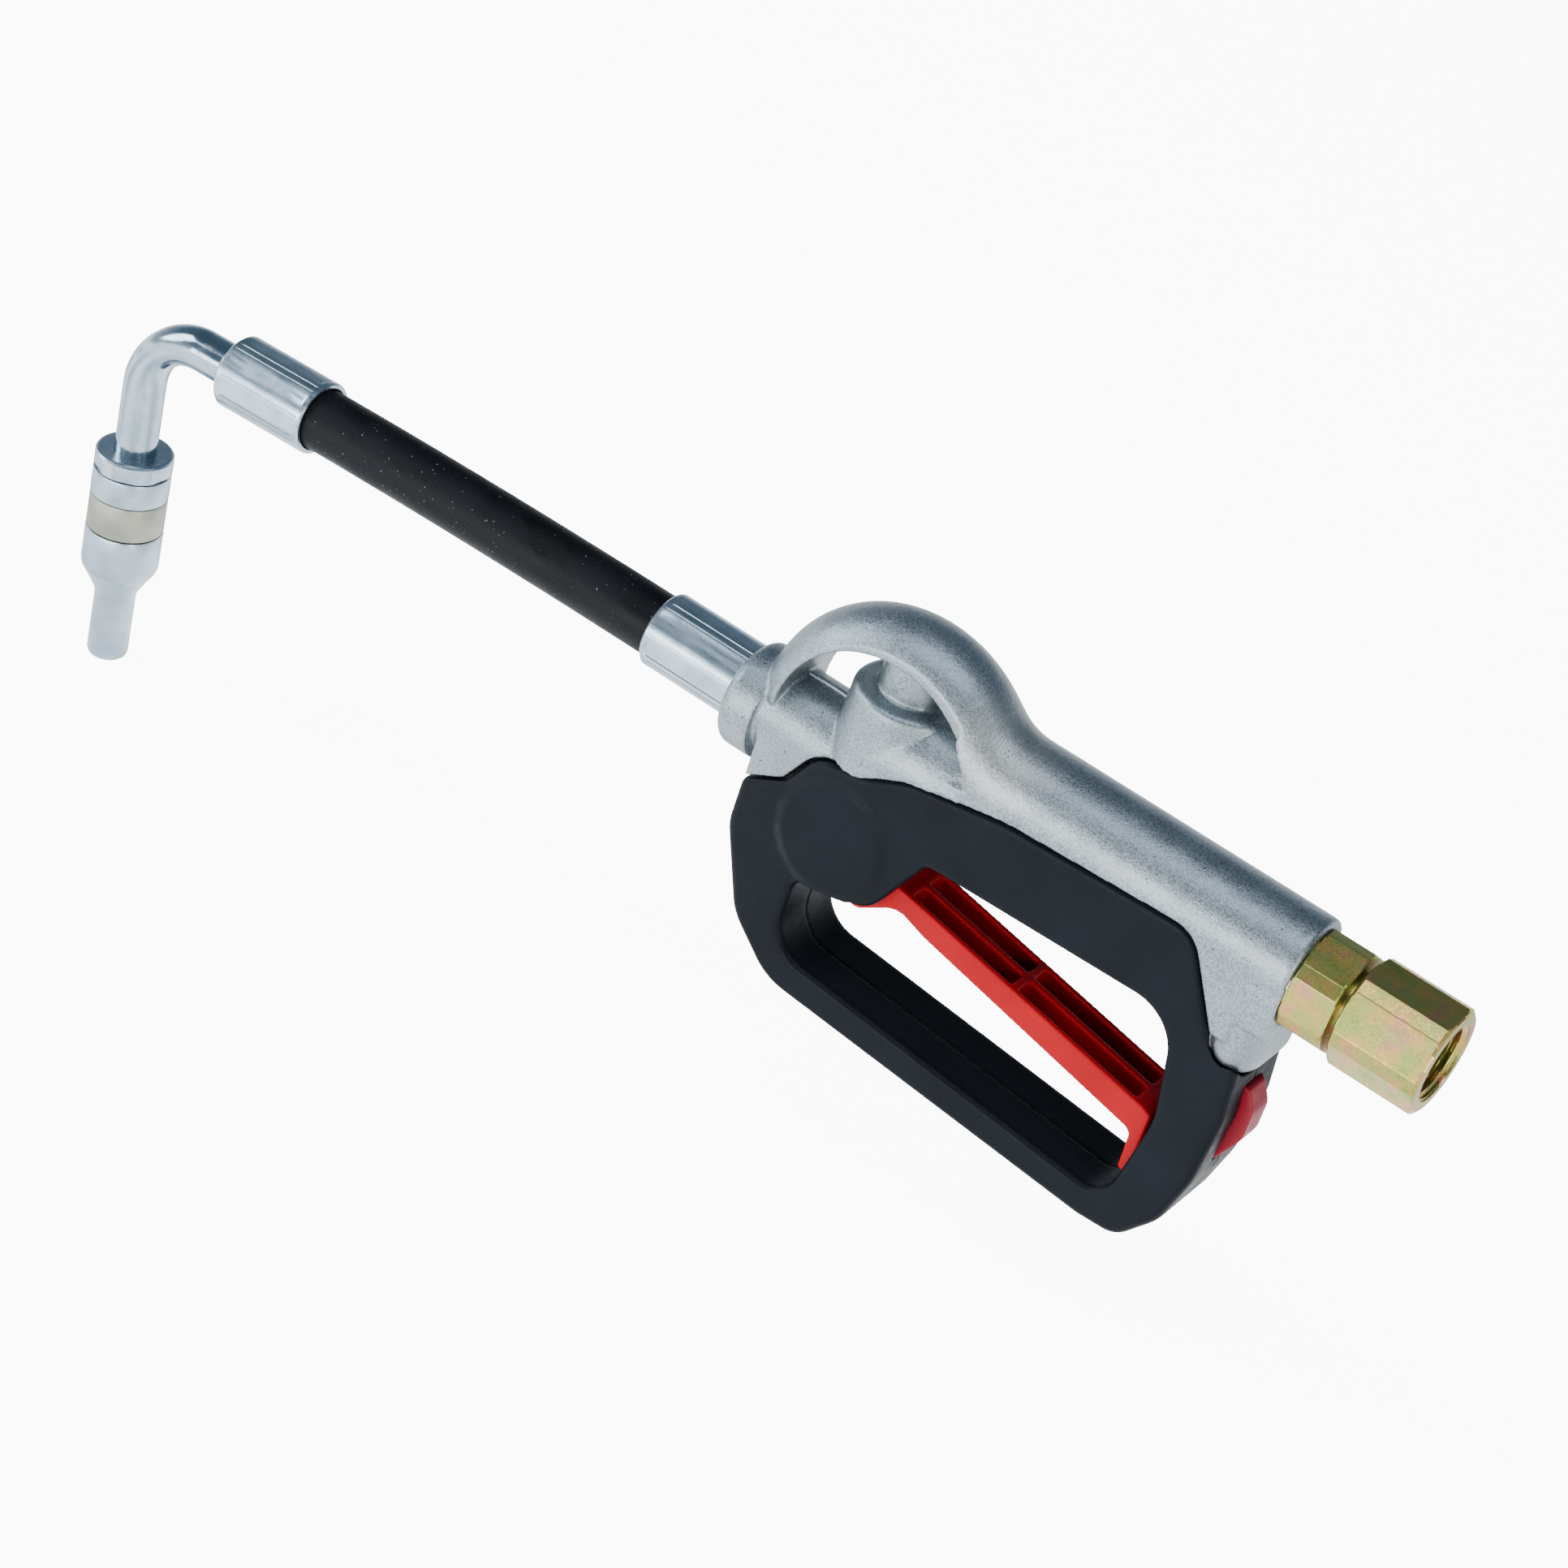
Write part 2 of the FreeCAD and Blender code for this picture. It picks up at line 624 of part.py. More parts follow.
def guard_half(side):
    """One shell of the hand guard: side -1 is the near half, +1 the far half."""
    low, high = sorted((0.0, side * guard_half_width))
    ring = slab(guard_outline, low, high).cut(slab(opening_outline, low - 1, high + 1))
    face_y = side * guard_half_width
    rims = [e for e in ring.Edges if abs(e.CenterOfMass.y - face_y) < 0.01]
    ring = ring.makeFillet(guard_round, rims)
    cheek_y = side * (guard_half_width - guard_wall)
    low, high = sorted((-side * 1.0, cheek_y))
    cavity = slab(inset(guard_outline, guard_wall), low, high)
    kept = slab(inset(opening_outline, -guard_wall), low - 1, high + 1)
    shell = ring.cut(cavity.cut(kept))
    boss_low, boss_high = sorted((0.0, side * guard_boss_end))
    additions = [along_y(screw_boss_r, boss_low, boss_high, x, z) for x, z in screw_places[2:]]
    eye_low, eye_high = sorted((side * (trigger_slot + 0.2), side * (guard_half_width - 1.4)))
    additions.append(along_y(pivot_eye_r, eye_low, eye_high, *pivot))
    low, high = sorted((side * 0.01, side * guard_boss_end))
    additions.append(block(*stop_wall_x, low, high, -62, -27))
    disc = lathe([(0, -1), (bulge_r, -1), (bulge_r, 0), (bulge_r - 2.5, bulge_rise), (0, bulge_rise)])
    additions.append(placed(disc, V(bulge_centre[0], face_y, bulge_centre[1]), V(0, side, 0)))
    shell = fused([shell] + [a.common(slab(guard_outline, -30, 30)) for a in additions])
    shell = shell.cut(slab(opening_outline, -30, 30))
    return shell.cut(guard_clearances(side))


def guard_clearances(side):
    """What passes through or between the two guard halves."""
    slot = trigger_slot
    web = web_half_width + gap
    button = button_half_width + gap
    cuts = [
        block(-180, -48, -web, web, web_bottom - gap, 20),
        upright(web, -27.5, 0, boss_x),
        upright(gland_head_flats / math.sqrt(3) + 0.7, -40, 0, boss_x),
        block(-172, -133, -slot, slot, -53, -20),
        block(-65, -53.4, -slot, slot, -77.5, -22),
        block(button_face_x - 0.4, -30, -button, button, button_bottom - gap, button_top + gap),
        block(-62, -30, -web, web, web_bottom - gap, 10),
        along_y(pivot_pin_r + 0.02, -guard_pin_end - 0.2, guard_pin_end + 0.2, *pivot),
        rear_lug(parting_gap),
    ]
    if side < 0:
        cuts.append(screw_holes(screw_r + 0.05, -guard_pin_end - 0.6, 1))
    else:
        cuts.append(screw_holes(screw_r + 0.4, -1, 20))
        cuts.append(screw_holes(screw_head_r + 0.2, screw_head_y[0] - 0.1, 20))
    return fused(cuts)


def guard_screws():
    head_low, head_high = screw_head_y
    screws = []
    for x, z in screw_places:
        shank = along_y(screw_r, -guard_pin_end, head_low, x, z)
        head = along_y(screw_head_r, head_low, head_high, x, z)
        socket = placed(prism(2.5, 1.4), V(x, head_low + 0.9, z), V(0, 1, 0))
        screws.append(shank.fuse(head).cut(socket))
    return Part.makeCompound(screws)


def pivot_pin():
    return along_y(pivot_pin_r, -guard_pin_end, guard_pin_end, *pivot)


# ---- trigger ----
roller_x = boss_x
roller_z = stem_bottom - roller_gap - roller_r


def trigger():
    px, pz = pivot
    side_view = [
        (px - 6.0, pz + 5.6, 5), (px + 4.0, pz + 5.0, 3), (px + 10.0, pz + 2.9, 4), (-152.0, pz + 2.6, 3),
        (-142.0, -37.3, 3), (-61.0, -52.9, 1), (-58.7, -54.0, 0.8), (-58.7, -73.0, 1.2),
        (-62.0, -73.0, 1.2), (-62.3, -61.2, 2.5), (-131.5, -46.4, 9), (-141.0, -43.2, 7),
        (-151.5, -50.2, 4), (-163.0, -48.6, 8), (px - 6.0, pz - 6.4, 5),
    ]
    half = trigger_half_width
    solid = slab(side_view, -half, half)
    inner = half - trigger_side_wall
    front_pocket = (pocket_start, cross_rib_x - cross_rib_half)
    rear_pocket = (cross_rib_x + cross_rib_half, pocket_end)
    for x_low, x_high in (front_pocket, rear_pocket):
        low_floor = pocket_floor - (x_low - pocket_start) * pocket_slope
        high_floor = pocket_floor - (x_high - pocket_start) * pocket_slope
        room = [(x_low, low_floor, 0.8), (x_high, high_floor, 0.8), (x_high, -20, 1), (x_low, -20, 1)]
        for low, high in ((-inner, -trigger_rib / 2), (trigger_rib / 2, inner)):
            solid = solid.cut(slab(room, low, high))
    room_r = roller_r + 1.5
    fork_half = roller_half_width + gap
    fork = block(roller_x - room_r, roller_x + room_r, -fork_half, fork_half, roller_z - 5.2, -20)
    pin_hole = along_y(pivot_pin_r + running, -20, 20, px, pz)
    roller_hole = along_y(1.55, -roller_pin_half - 0.1, roller_pin_half + 0.1, roller_x, roller_z)
    return solid.cut(fork).cut(pin_hole).cut(roller_hole)


def trigger_roller():
    wheel = along_y(roller_r, -roller_half_width, roller_half_width, roller_x, roller_z)
    return wheel.cut(along_y(1.55, -5, 5, roller_x, roller_z))


def roller_pin():
    return along_y(1.5, -roller_pin_half, roller_pin_half, roller_x, roller_z)


# ---- lock button ----
def lock_button():
    middle = (button_top + button_bottom) / 2
    cap = [
        (button_face_x, button_top, 0), (-39.6, button_top, 1.2), (-36.5, middle + 6.0, 5),
        (-36.5, middle - 2.5, 9), (-41.2, button_bottom, 1.5), (button_face_x, button_bottom, 0),
    ]
    face = slab(cap, -button_half_width, button_half_width)
    wide = button_half_width + 1.6
    low, high = button_bottom - 1.2, button_top - 1.0
    flange = block(button_face_x - 1.3, button_face_x + 0.1, -wide, wide, low, high)
    plug = block(button_back_x, button_face_x - 1.2, -3.2, 3.2, middle - 6, middle + 6)
    return fused([face, flange, plug])


def lock_button_spring():
    middle = (button_top + button_bottom) / 2
    start = stop_wall_x[1] + 0.1
    return placed(coil(2.4, 0.35, button_back_x - start - 0.1, 4), V(start, 0, middle), V(1, 0, 0))


# ---- hose extension ----
def hose_route():
    end_at = front_ferrule_at + ferrule_length - ferrule_end_wall - gap
    end = hose_corner.add(V(hose_front).multiply(end_at))
    start = V(rear_fitting_x - ferrule_end_wall - gap, 0, outlet_z)
    reach = min(rear_ferrule_x - hose_corner_x, front_ferrule_at)
    return bent_route(start, hose_corner, end, reach / math.tan(droop / 2))


def crimped_ferrule():
    """Made about +Z, from the rim where the hose comes out to the end wall."""
    back = ferrule_length - ferrule_end_wall
    inner = hose_r + 0.08
    hole = elbow_r + 0.1
    shell = lathe([
        (inner, 0.5), (hose_r + 0.6, 0), (ferrule_r - 0.5, 0), (ferrule_r, 0.5),
        (ferrule_r, ferrule_length - 0.8), (ferrule_r - 0.8, ferrule_length),
        (hole, ferrule_length), (hole, back), (inner, back),
    ])
    jaws = prism(2 * ferrule_flat, ferrule_length - 2 * ferrule_rim, 8)
    jaws.translate(V(0, 0, ferrule_rim))
    first_rim = Part.makeCylinder(ferrule_r + 1, ferrule_rim)
    last_rim = first_rim.translated(V(0, 0, ferrule_length - ferrule_rim))
    return shell.common(jaws.fuse([first_rim, last_rim]))


def rear_ferrule():
    return placed(crimped_ferrule(), V(rear_ferrule_x, 0, outlet_z), V(1, 0, 0))


def front_ferrule():
    rim = hose_corner.add(V(hose_front).multiply(front_ferrule_at))
    return placed(crimped_ferrule(), rim, hose_front, 180)


def rear_hose_fitting():
    x = rear_fitting_x
    shoulder_end = x + 3.0
    nipple = along_x(hose_bore_r - running, rear_ferrule_x + 2, x - ferrule_end_wall, outlet_z)
    waist = along_x(elbow_r, x - ferrule_end_wall - 0.05, x + 0.1, outlet_z)
    shoulder = along_x(ferrule_r - 0.3, x + 0.05, shoulder_end, outlet_z)
    thread = along_x(outlet_thread_r, shoulder_end - 0.1, x + 14, outlet_z)
    bore = along_x(nipple_bore_r, rear_ferrule_x, x + 20, outlet_z)
    return fused([nipple, waist, shoulder, thread]).cut(bore)


def outlet_seal_ring():
    low = rear_fitting_x + 3.02
    return ring_x(ferrule_r, outlet_thread_r + 0.1, low, low + 1.13, outlet_z)


def front_hose_tail():
    """The swaged nipple inside the front ferrule, with a spigot brazed in the bent tube."""
    back = ferrule_length - ferrule_end_wall
    nipple = hose_bore_r - running
    spigot = elbow_bore_r - 0.03
    shape = lathe([
        (nipple_bore_r, 2), (nipple, 2), (nipple, back - 0.15), (elbow_r, back - 0.15),
        (elbow_r, back + 0.4), (spigot, back + 0.4), (spigot, back + 9), (nipple_bore_r, back + 9),
    ])
    return placed(shape, hose_corner.add(V(hose_front).multiply(front_ferrule_at)), hose_front)


def elbow_tube():
    start_at = front_ferrule_at + ferrule_length - ferrule_end_wall + 0.45
    start = hose_corner.add(V(hose_front).multiply(start_at))
    end = tip_top.add(V(spout_way).multiply(8.0))
    return tube(bent_route(start, elbow_corner, end, elbow_bend_r), elbow_r, elbow_bore_r)


# ---- tip, made about +Z from its top face ----
def on_tip(shape):
    return placed(shape, tip_top, spout_way)


def tip_collar():
    """Hexagon head on the tube's end, with the core that carries the rings and the sleeve."""
    head = lathe([(0, 0), (tip_r - 0.7, 0), (tip_r, 0.7), (tip_r, collar_length), (0, collar_length)])
    flats = prism(tip_hex_flats, collar_length - tip_hex_start)
    flats.translate(V(0, 0, tip_hex_start))
    top = Part.makeCylinder(tip_r + 1, tip_hex_start)
    head = head.common(flats.fuse(top))
    core = Part.makeCylinder(core_tip_r, core_tip_length - collar_length, V(0, 0, collar_length))
    socket = Part.makeCylinder(elbow_r + 0.02, tip_socket_depth)
    bore = Part.makeCylinder(nipple_bore_r, 2 * core_tip_length)
    low, high = tip_seal_z
    inner, outer = core_tip_r - 1.1, core_tip_r + 1
    groove = lathe([(inner, low), (outer, low), (outer, high), (inner, high)])
    return on_tip(head.fuse(core).cut(socket).cut(bore).cut(groove))


def tip_ring():
    return on_tip(lathe([
        (core_tip_r + 0.03, collar_length + 0.15), (tip_r - 0.35, collar_length + 0.15),
        (tip_r, collar_length + 0.5), (tip_r, ring_end - 0.35), (tip_r - 0.35, ring_end),
        (core_tip_r + 0.03, ring_end),
    ]))


def tip_band():
    return on_tip(lathe([
        (core_tip_r + 0.03, ring_end + 0.1), (tip_r - 0.3, ring_end + 0.1), (tip_r - 0.05, ring_end + 0.4),
        (tip_r - 0.05, band_end - 0.3), (tip_r - 0.3, band_end), (core_tip_r + 0.03, band_end),
    ]))


def tip_o_ring():
    low, high = tip_seal_z[0] + 0.05, tip_seal_z[1] - 0.05
    inner, outer = core_tip_r - 1.05, core_tip_r + 0.01
    return on_tip(lathe([(inner, low), (outer, low), (outer, high), (inner, high)]))


def spout_sleeve():
    inner = core_tip_r + running
    wide_bore = core_tip_r - 2.1
    back = core_tip_length + gap
    return on_tip(lathe([
        (inner, band_end + 0.2), (tip_r - 0.2, band_end + 0.2), (tip_r, band_end + 0.4),
        (tip_r, shoulder_start), (tip_r - 0.9, shoulder_start + 2.2), (spout_r + 0.6, neck_start - 1.6),
        (spout_r, neck_start), (spout_r, tip_length - 1.4), (spout_r - 0.5, tip_length - 0.4),
        (spout_r - 1.2, tip_length), (spout_bore_r, tip_length), (spout_bore_r, neck_start - 2.0),
        (wide_bore, neck_start - 6.0), (wide_bore, back), (inner, back),
    ]))


def tip_poppet():
    low = core_tip_length + 0.25
    radius = core_tip_r - 3.1
    return on_tip(lathe([
        (0, low), (radius - 0.4, low), (radius, low + 0.5), (radius, low + 2.2), (2.2, low + 2.6),
        (1.6, low + 5.0), (0, low + 5.0),
    ]))


def tip_spring():
    low = core_tip_length + 2.8
    spring = coil(4.3, 0.45, neck_start - 5.2 - low, 4)
    return on_tip(placed(spring, V(0, 0, low), V(0, 0, 1)))


def make_all():
    route = hose_route()
    parts = {
        "body_casting": body_casting(),
        "valve_seat": valve_seat(),
        "seat_o_ring": seat_o_ring(),
        "valve_stem": valve_stem(),
        "valve_poppet_seal": valve_poppet_seal(),
        "valve_spring": valve_spring(),
        "gland_nut": gland_nut(),
        "stem_seal": stem_seal(),
        "inlet_adapter": inlet_adapter(),
        "adapter_seal_washer": adapter_seal_washer(),
        "inlet_strainer": inlet_strainer(),
        "swivel_nut": swivel_nut(),
        "swivel_snap_ring": swivel_snap_ring(),
        "swivel_o_ring": swivel_o_ring(),
        "guard_near_half": guard_half(-1),
        "guard_far_half": guard_half(1),
        "guard_screws": guard_screws(),
        "pivot_pin": pivot_pin(),
        "trigger": trigger(),
        "trigger_roller": trigger_roller(),
        "roller_pin": roller_pin(),
        "lock_button": lock_button(),
        "lock_button_spring": lock_button_spring(),
        "hose_liner": tube(route, liner_r, hose_bore_r),
        "hose_braid": tube(route, braid_r, liner_r),
        "hose_cover": tube(route, hose_r, braid_r),
        "rear_ferrule": rear_ferrule(),
        "rear_hose_fitting": rear_hose_fitting(),
        "outlet_seal_ring": outlet_seal_ring(),
        "front_ferrule": front_ferrule(),
        "front_hose_tail": front_hose_tail(),
        "elbow_tube": elbow_tube(),
        "tip_collar": tip_collar(),
        "tip_ring": tip_ring(),
        "tip_band": tip_band(),
        "tip_o_ring": tip_o_ring(),
        "spout_sleeve": spout_sleeve(),
        "tip_poppet": tip_poppet(),
        "tip_spring": tip_spring(),
    }
    cover = parts["hose_cover"]
    straight_volume = math.pi * (hose_r ** 2 - braid_r ** 2) * route.Length
    print("hose length", round(route.Length, 2), "volume ratio", round(cover.Volume / straight_volume, 4))
    os.makedirs("parts", exist_ok=True)
    for name, shape in parts.items():
        print(name, shape.ShapeType, len(shape.Solids), shape.isValid(), round(shape.Volume, 1))
        shape.exportStep("parts/" + name + ".step")


make_all()
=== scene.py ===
import json
import math

import bmesh
import bpy
import numpy as np
from mathutils import Matrix, Vector


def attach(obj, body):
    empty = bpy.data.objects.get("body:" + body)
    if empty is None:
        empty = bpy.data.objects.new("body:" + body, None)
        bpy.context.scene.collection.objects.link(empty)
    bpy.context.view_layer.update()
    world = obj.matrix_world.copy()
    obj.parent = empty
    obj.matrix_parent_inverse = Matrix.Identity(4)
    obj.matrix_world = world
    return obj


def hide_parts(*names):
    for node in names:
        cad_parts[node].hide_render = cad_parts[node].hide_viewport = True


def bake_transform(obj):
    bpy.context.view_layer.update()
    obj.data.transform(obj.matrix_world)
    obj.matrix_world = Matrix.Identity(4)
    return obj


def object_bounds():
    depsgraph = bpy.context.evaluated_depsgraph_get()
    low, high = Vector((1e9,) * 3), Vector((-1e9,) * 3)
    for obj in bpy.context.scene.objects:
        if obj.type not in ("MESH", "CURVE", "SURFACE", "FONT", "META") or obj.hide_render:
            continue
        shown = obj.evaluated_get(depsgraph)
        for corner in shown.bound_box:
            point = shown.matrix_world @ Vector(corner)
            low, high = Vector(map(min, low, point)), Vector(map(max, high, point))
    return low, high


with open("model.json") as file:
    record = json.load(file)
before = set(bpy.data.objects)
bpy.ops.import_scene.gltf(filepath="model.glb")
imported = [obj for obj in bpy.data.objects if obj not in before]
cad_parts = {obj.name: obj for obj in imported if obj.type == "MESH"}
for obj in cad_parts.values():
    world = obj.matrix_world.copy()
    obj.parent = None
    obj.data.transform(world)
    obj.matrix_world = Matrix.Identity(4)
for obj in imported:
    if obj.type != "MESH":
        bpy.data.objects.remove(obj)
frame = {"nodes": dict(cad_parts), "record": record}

# Oil control gun with a short hose and a bent spout.
# Lengths are in millimetres, and MM turns them to metres. A size that is in metres says so.
# +X is out of the inlet, +Z is up, and Y is across the handle.
MM = 0.001
cad_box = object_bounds()

# ---- sizes shared with the frame ----
NUT = {"flats": 27.0, "corner_flats": 28.9, "length": 24.5, "turn": 4.9, "chamfer": 1.4}
THREAD = {"minor_r": 9.32, "major_r": 10.45, "pitch": 1.814, "length": 12.3}
NUT_MOUTH_R = 10.6
SWIVEL_BORE_R = 8.06
ADAPTER = {"flats": 26.0, "corner_flats": 27.8, "length": 12.5, "turn": 24.4, "chamfer": 0.9, "x": -38.5}
ADAPTER_NECK_R = 9.4
NOSE_R = 8.0
ADAPTER_BORE_R = 5.5

OUTLET_Z = -15.3
HOSE_R = 8.7
BRAID_R = 6.9
LINER_R = 6.0
HOSE_BORE_R = 4.82
FERRULE = {"r": 10.5, "flat": 10.28, "length": 30.5, "end_wall": 1.9}
REAR_FERRULE_X = -232.1
HOSE_CORNER = Vector((-294.0, 0, OUTLET_Z))
HOSE_DROOP = math.radians(2.6)
HOSE_FRONT = Vector((-math.cos(HOSE_DROOP), 0, -math.sin(HOSE_DROOP)))
FRONT_FERRULE_AT = 56.0
INTO_FERRULE = 3.0            # how far the drawn hose reaches into each ferrule
LAYER_GAP = 0.02              # keeps the hose's layers from showing through each other

ELBOW_R = 6.0
ELBOW_BORE_R = 4.6
ELBOW_BEND_R = 19.0
ELBOW_CORNER = HOSE_CORNER + HOSE_FRONT * 117.7
SPOUT_LEAN = math.radians(3.9)
SPOUT_WAY = Vector((math.sin(SPOUT_LEAN), 0, -math.cos(SPOUT_LEAN)))
TIP_TOP = ELBOW_CORNER + SPOUT_WAY * 40.2
TIP_R = 11.05
TIP_HEX_FLATS = 20.6
TIP_CORE_R = 8.5
SPOUT_R = 5.9
SPOUT_BORE_R = 4.2

# the outlet neck's top, where the two halves of the casting die leave a ridge
NECK_TOP = OUTLET_Z + 12.6
NECK_FRONT_X = -188.5
NECK_REAR_X = -174.6


# ---- camera ----
def make_camera():
    """The view from above the handle's near side, behind the inlet."""
    right = Vector((0.7818, 0.5661, 0.2612))
    up = Vector((-0.5068, 0.3331, 0.7951))
    forward = Vector((-0.3631, 0.7540, -0.5473)).normalized()
    right = (right - forward * right.dot(forward)).normalized()
    up = right.cross(forward)
    data = bpy.data.cameras.new("camera")
    data.sensor_width = 36.0
    data.lens = 93.17
    data.clip_start = 0.01
    data.clip_end = 20
    camera = bpy.data.objects.new("camera", data)
    bpy.context.scene.collection.objects.link(camera)
    turn = Matrix((right, up, -forward)).transposed().to_4x4()
    camera.matrix_world = Matrix.Translation((0.19087, -0.78217, 0.53174)) @ turn
    bpy.context.scene.camera = camera


make_camera()


# ---- material helpers ----
def linear(text):
    """An sRGB hex colour as linear RGBA."""
    channels = [int(text[i:i + 2], 16) / 255 for i in (1, 3, 5)]
    return [c / 12.92 if c <= 0.04045 else ((c + 0.055) / 1.055) ** 2.4 for c in channels] + [1.0]


def add(tree, kind, settings=None, **links):
    """A node with its settings, and its inputs set to values or linked from other nodes' outputs."""
    node = tree.nodes.new("ShaderNode" + kind)
    for key, value in (settings or {}).items():
        setattr(node, key, value)
    for key, value in links.items():
        name = key.replace("_", " ")
        socket = node.inputs[int(key[1:])] if key[0] == "i" and key[1:].isdigit() else node.inputs[name]
        if isinstance(value, bpy.types.NodeSocket):
            tree.links.new(value, socket)
        else:
            socket.default_value = value
    return node


def new_material(name):
    """A material with its shader, and its place in millimetres across the part."""
    material = bpy.data.materials.new(name)
    material.use_nodes = True
    tree = material.node_tree
    shader = tree.nodes["Principled BSDF"]
    place = add(tree, "TexCoord").outputs["Object"]
    place = add(tree, "VectorMath", {"operation": "SCALE"}, Vector=place, Scale=1 / MM).outputs["Vector"]
    return material, tree, shader, place


def noise(tree, place, size, detail=3.0, roughness=0.5):
    """Noise whose grains are about size millimetres across."""
    node = add(tree, "TexNoise", Vector=place, Scale=1 / size, Detail=detail, Roughness=roughness)
    return node.outputs["Fac"]


def ramp(tree, value, *stops):
    """A colour ramp with (position, hex colour) stops."""
    node = add(tree, "ValToRGB", Fac=value)
    elements = node.color_ramp.elements
    while len(elements) < len(stops):
        elements.new(0.5)
    for element, (position, colour) in zip(elements, stops):
        element.position = position
        element.color = linear(colour)
    return node.outputs["Color"]


def spread(tree, value, low, high, from_low=0.3, from_high=0.7):
    """A value between from_low and from_high, spread over low to high. Noise lies mostly in 0.3 to 0.7."""
    limits = {"From_Min": from_low, "From_Max": from_high, "To_Min": low, "To_Max": high}
    return add(tree, "MapRange", Value=value, **limits).outputs["Result"]


def bump(tree, height, depth, below=None):
    """Relief of depth millimetres, on top of another relief if one is given."""
    node = add(tree, "Bump", Height=height, Strength=1.0, Distance=depth * MM)
    if below is not None:
        tree.links.new(below, node.inputs["Normal"])
    return node.outputs["Normal"]


def blend_colours(tree, factor, first, second):
    """The first colour, turning to the second as factor rises to 1."""
    node = add(tree, "Mix", {"data_type": "RGBA"})
    for socket, value in ((node.inputs[0], factor), (node.inputs[6], first), (node.inputs[7], second)):
        if isinstance(value, bpy.types.NodeSocket):
            tree.links.new(value, socket)
        else:
            socket.default_value = value
    return node.outputs[2]


def math_node(tree, operation, first, second):
    """One sum or product of two values."""
    return add(tree, "Math", {"operation": operation}, i0=first, i1=second).outputs["Value"]


def set_sockets(shader, **values):
    """Sets constants on a shader's sockets, with _ for each space in a socket's name."""
    for key, value in values.items():
        shader.inputs[key.replace("_", " ")].default_value = value


# ---- materials ----
def cast_aluminium():
    """Die-cast aluminium, bead blasted: a dull silver grain, soft waves, a few dark pits and a ground crest.

    The beads leave craters of about 0.1 mm. The grain is drawn at 0.45 mm so that it shows.
    """
    material, tree, shader, place = new_material("cast_aluminium")
    grain = noise(tree, place, 0.45, 4.0, 0.6)
    cloud = noise(tree, place, 9.0, 3.0)
    wave = noise(tree, place, 3.2, 2.0)
    colour = ramp(tree, cloud, (0.3, "#79858b"), (0.7, "#959fa4"))
    grey = ramp(tree, grain, (0.34, "#545d62"), (0.6, "#b4bcc0"))
    colour = blend_colours(tree, 0.5, colour, grey)
    pits = add(tree, "TexVoronoi", Vector=place, Scale=1 / 2.6, Randomness=1.0).outputs["Distance"]
    pit = spread(tree, pits, 1.0, 0.0, 0.06, 0.13)
    rare = spread(tree, noise(tree, place, 6.0, 2.0), 0.0, 1.0, 0.52, 0.6)
    pit = math_node(tree, "MULTIPLY", pit, rare)
    colour = blend_colours(tree, pit, colour, linear("#4b5052"))
    # the crest's flash was ground off by a belt, which leaves a lighter patch of short streaks
    from_crest = add(tree, "VectorMath", {"operation": "DISTANCE"}, i0=place, i1=(-127.0, -6.0, 14.0))
    crest = spread(tree, from_crest.outputs["Value"], 1.0, 0.0, 7.0, 17.0)
    along_belt = add(tree, "Mapping", Vector=place, Rotation=(0.0, 0.9, 0.35), Scale=(1.6, 0.12, 0.5))
    streak = noise(tree, along_belt.outputs["Vector"], 0.8, 3.0)
    streak = math_node(tree, "MULTIPLY", streak, crest)
    colour = blend_colours(tree, math_node(tree, "MULTIPLY", crest, 0.4), colour, linear("#c2c0b8"))
    tree.links.new(colour, shader.inputs["Base Color"])
    tree.links.new(spread(tree, grain, 0.3, 0.46), shader.inputs["Roughness"])
    relief = bump(tree, wave, 0.16)
    relief = bump(tree, grain, 0.1, relief)
    relief = bump(tree, streak, 0.16, relief)
    relief = bump(tree, math_node(tree, "SUBTRACT", 1.0, pit), 0.12, relief)
    tree.links.new(relief, shader.inputs["Normal"])
    set_sockets(shader, Metallic=0.92)
    return material


def moulded_plastic(name, dark, light, rough_low, rough_high, grain_depth, sheen=0.5):
    """Injection-moulded plastic: even colour, slight flow marks and a satin, spark-eroded grain.

    The grain is really about 0.1 mm, and is drawn at 0.38 mm so that it shows.
    """
    material, tree, shader, place = new_material(name)
    flow = noise(tree, place, 18.0, 3.0)
    grain = noise(tree, place, 0.38, 2.0, 0.6)
    colour = ramp(tree, flow, (0.3, dark), (0.7, light))
    tree.links.new(colour, shader.inputs["Base Color"])
    tree.links.new(spread(tree, noise(tree, place, 2.5), rough_low, rough_high), shader.inputs["Roughness"])
    relief = bump(tree, flow, 0.12)
    relief = bump(tree, grain, grain_depth, relief)
    tree.links.new(relief, shader.inputs["Normal"])
    set_sockets(shader, IOR=1.5, Specular_IOR_Level=sheen)
    return material


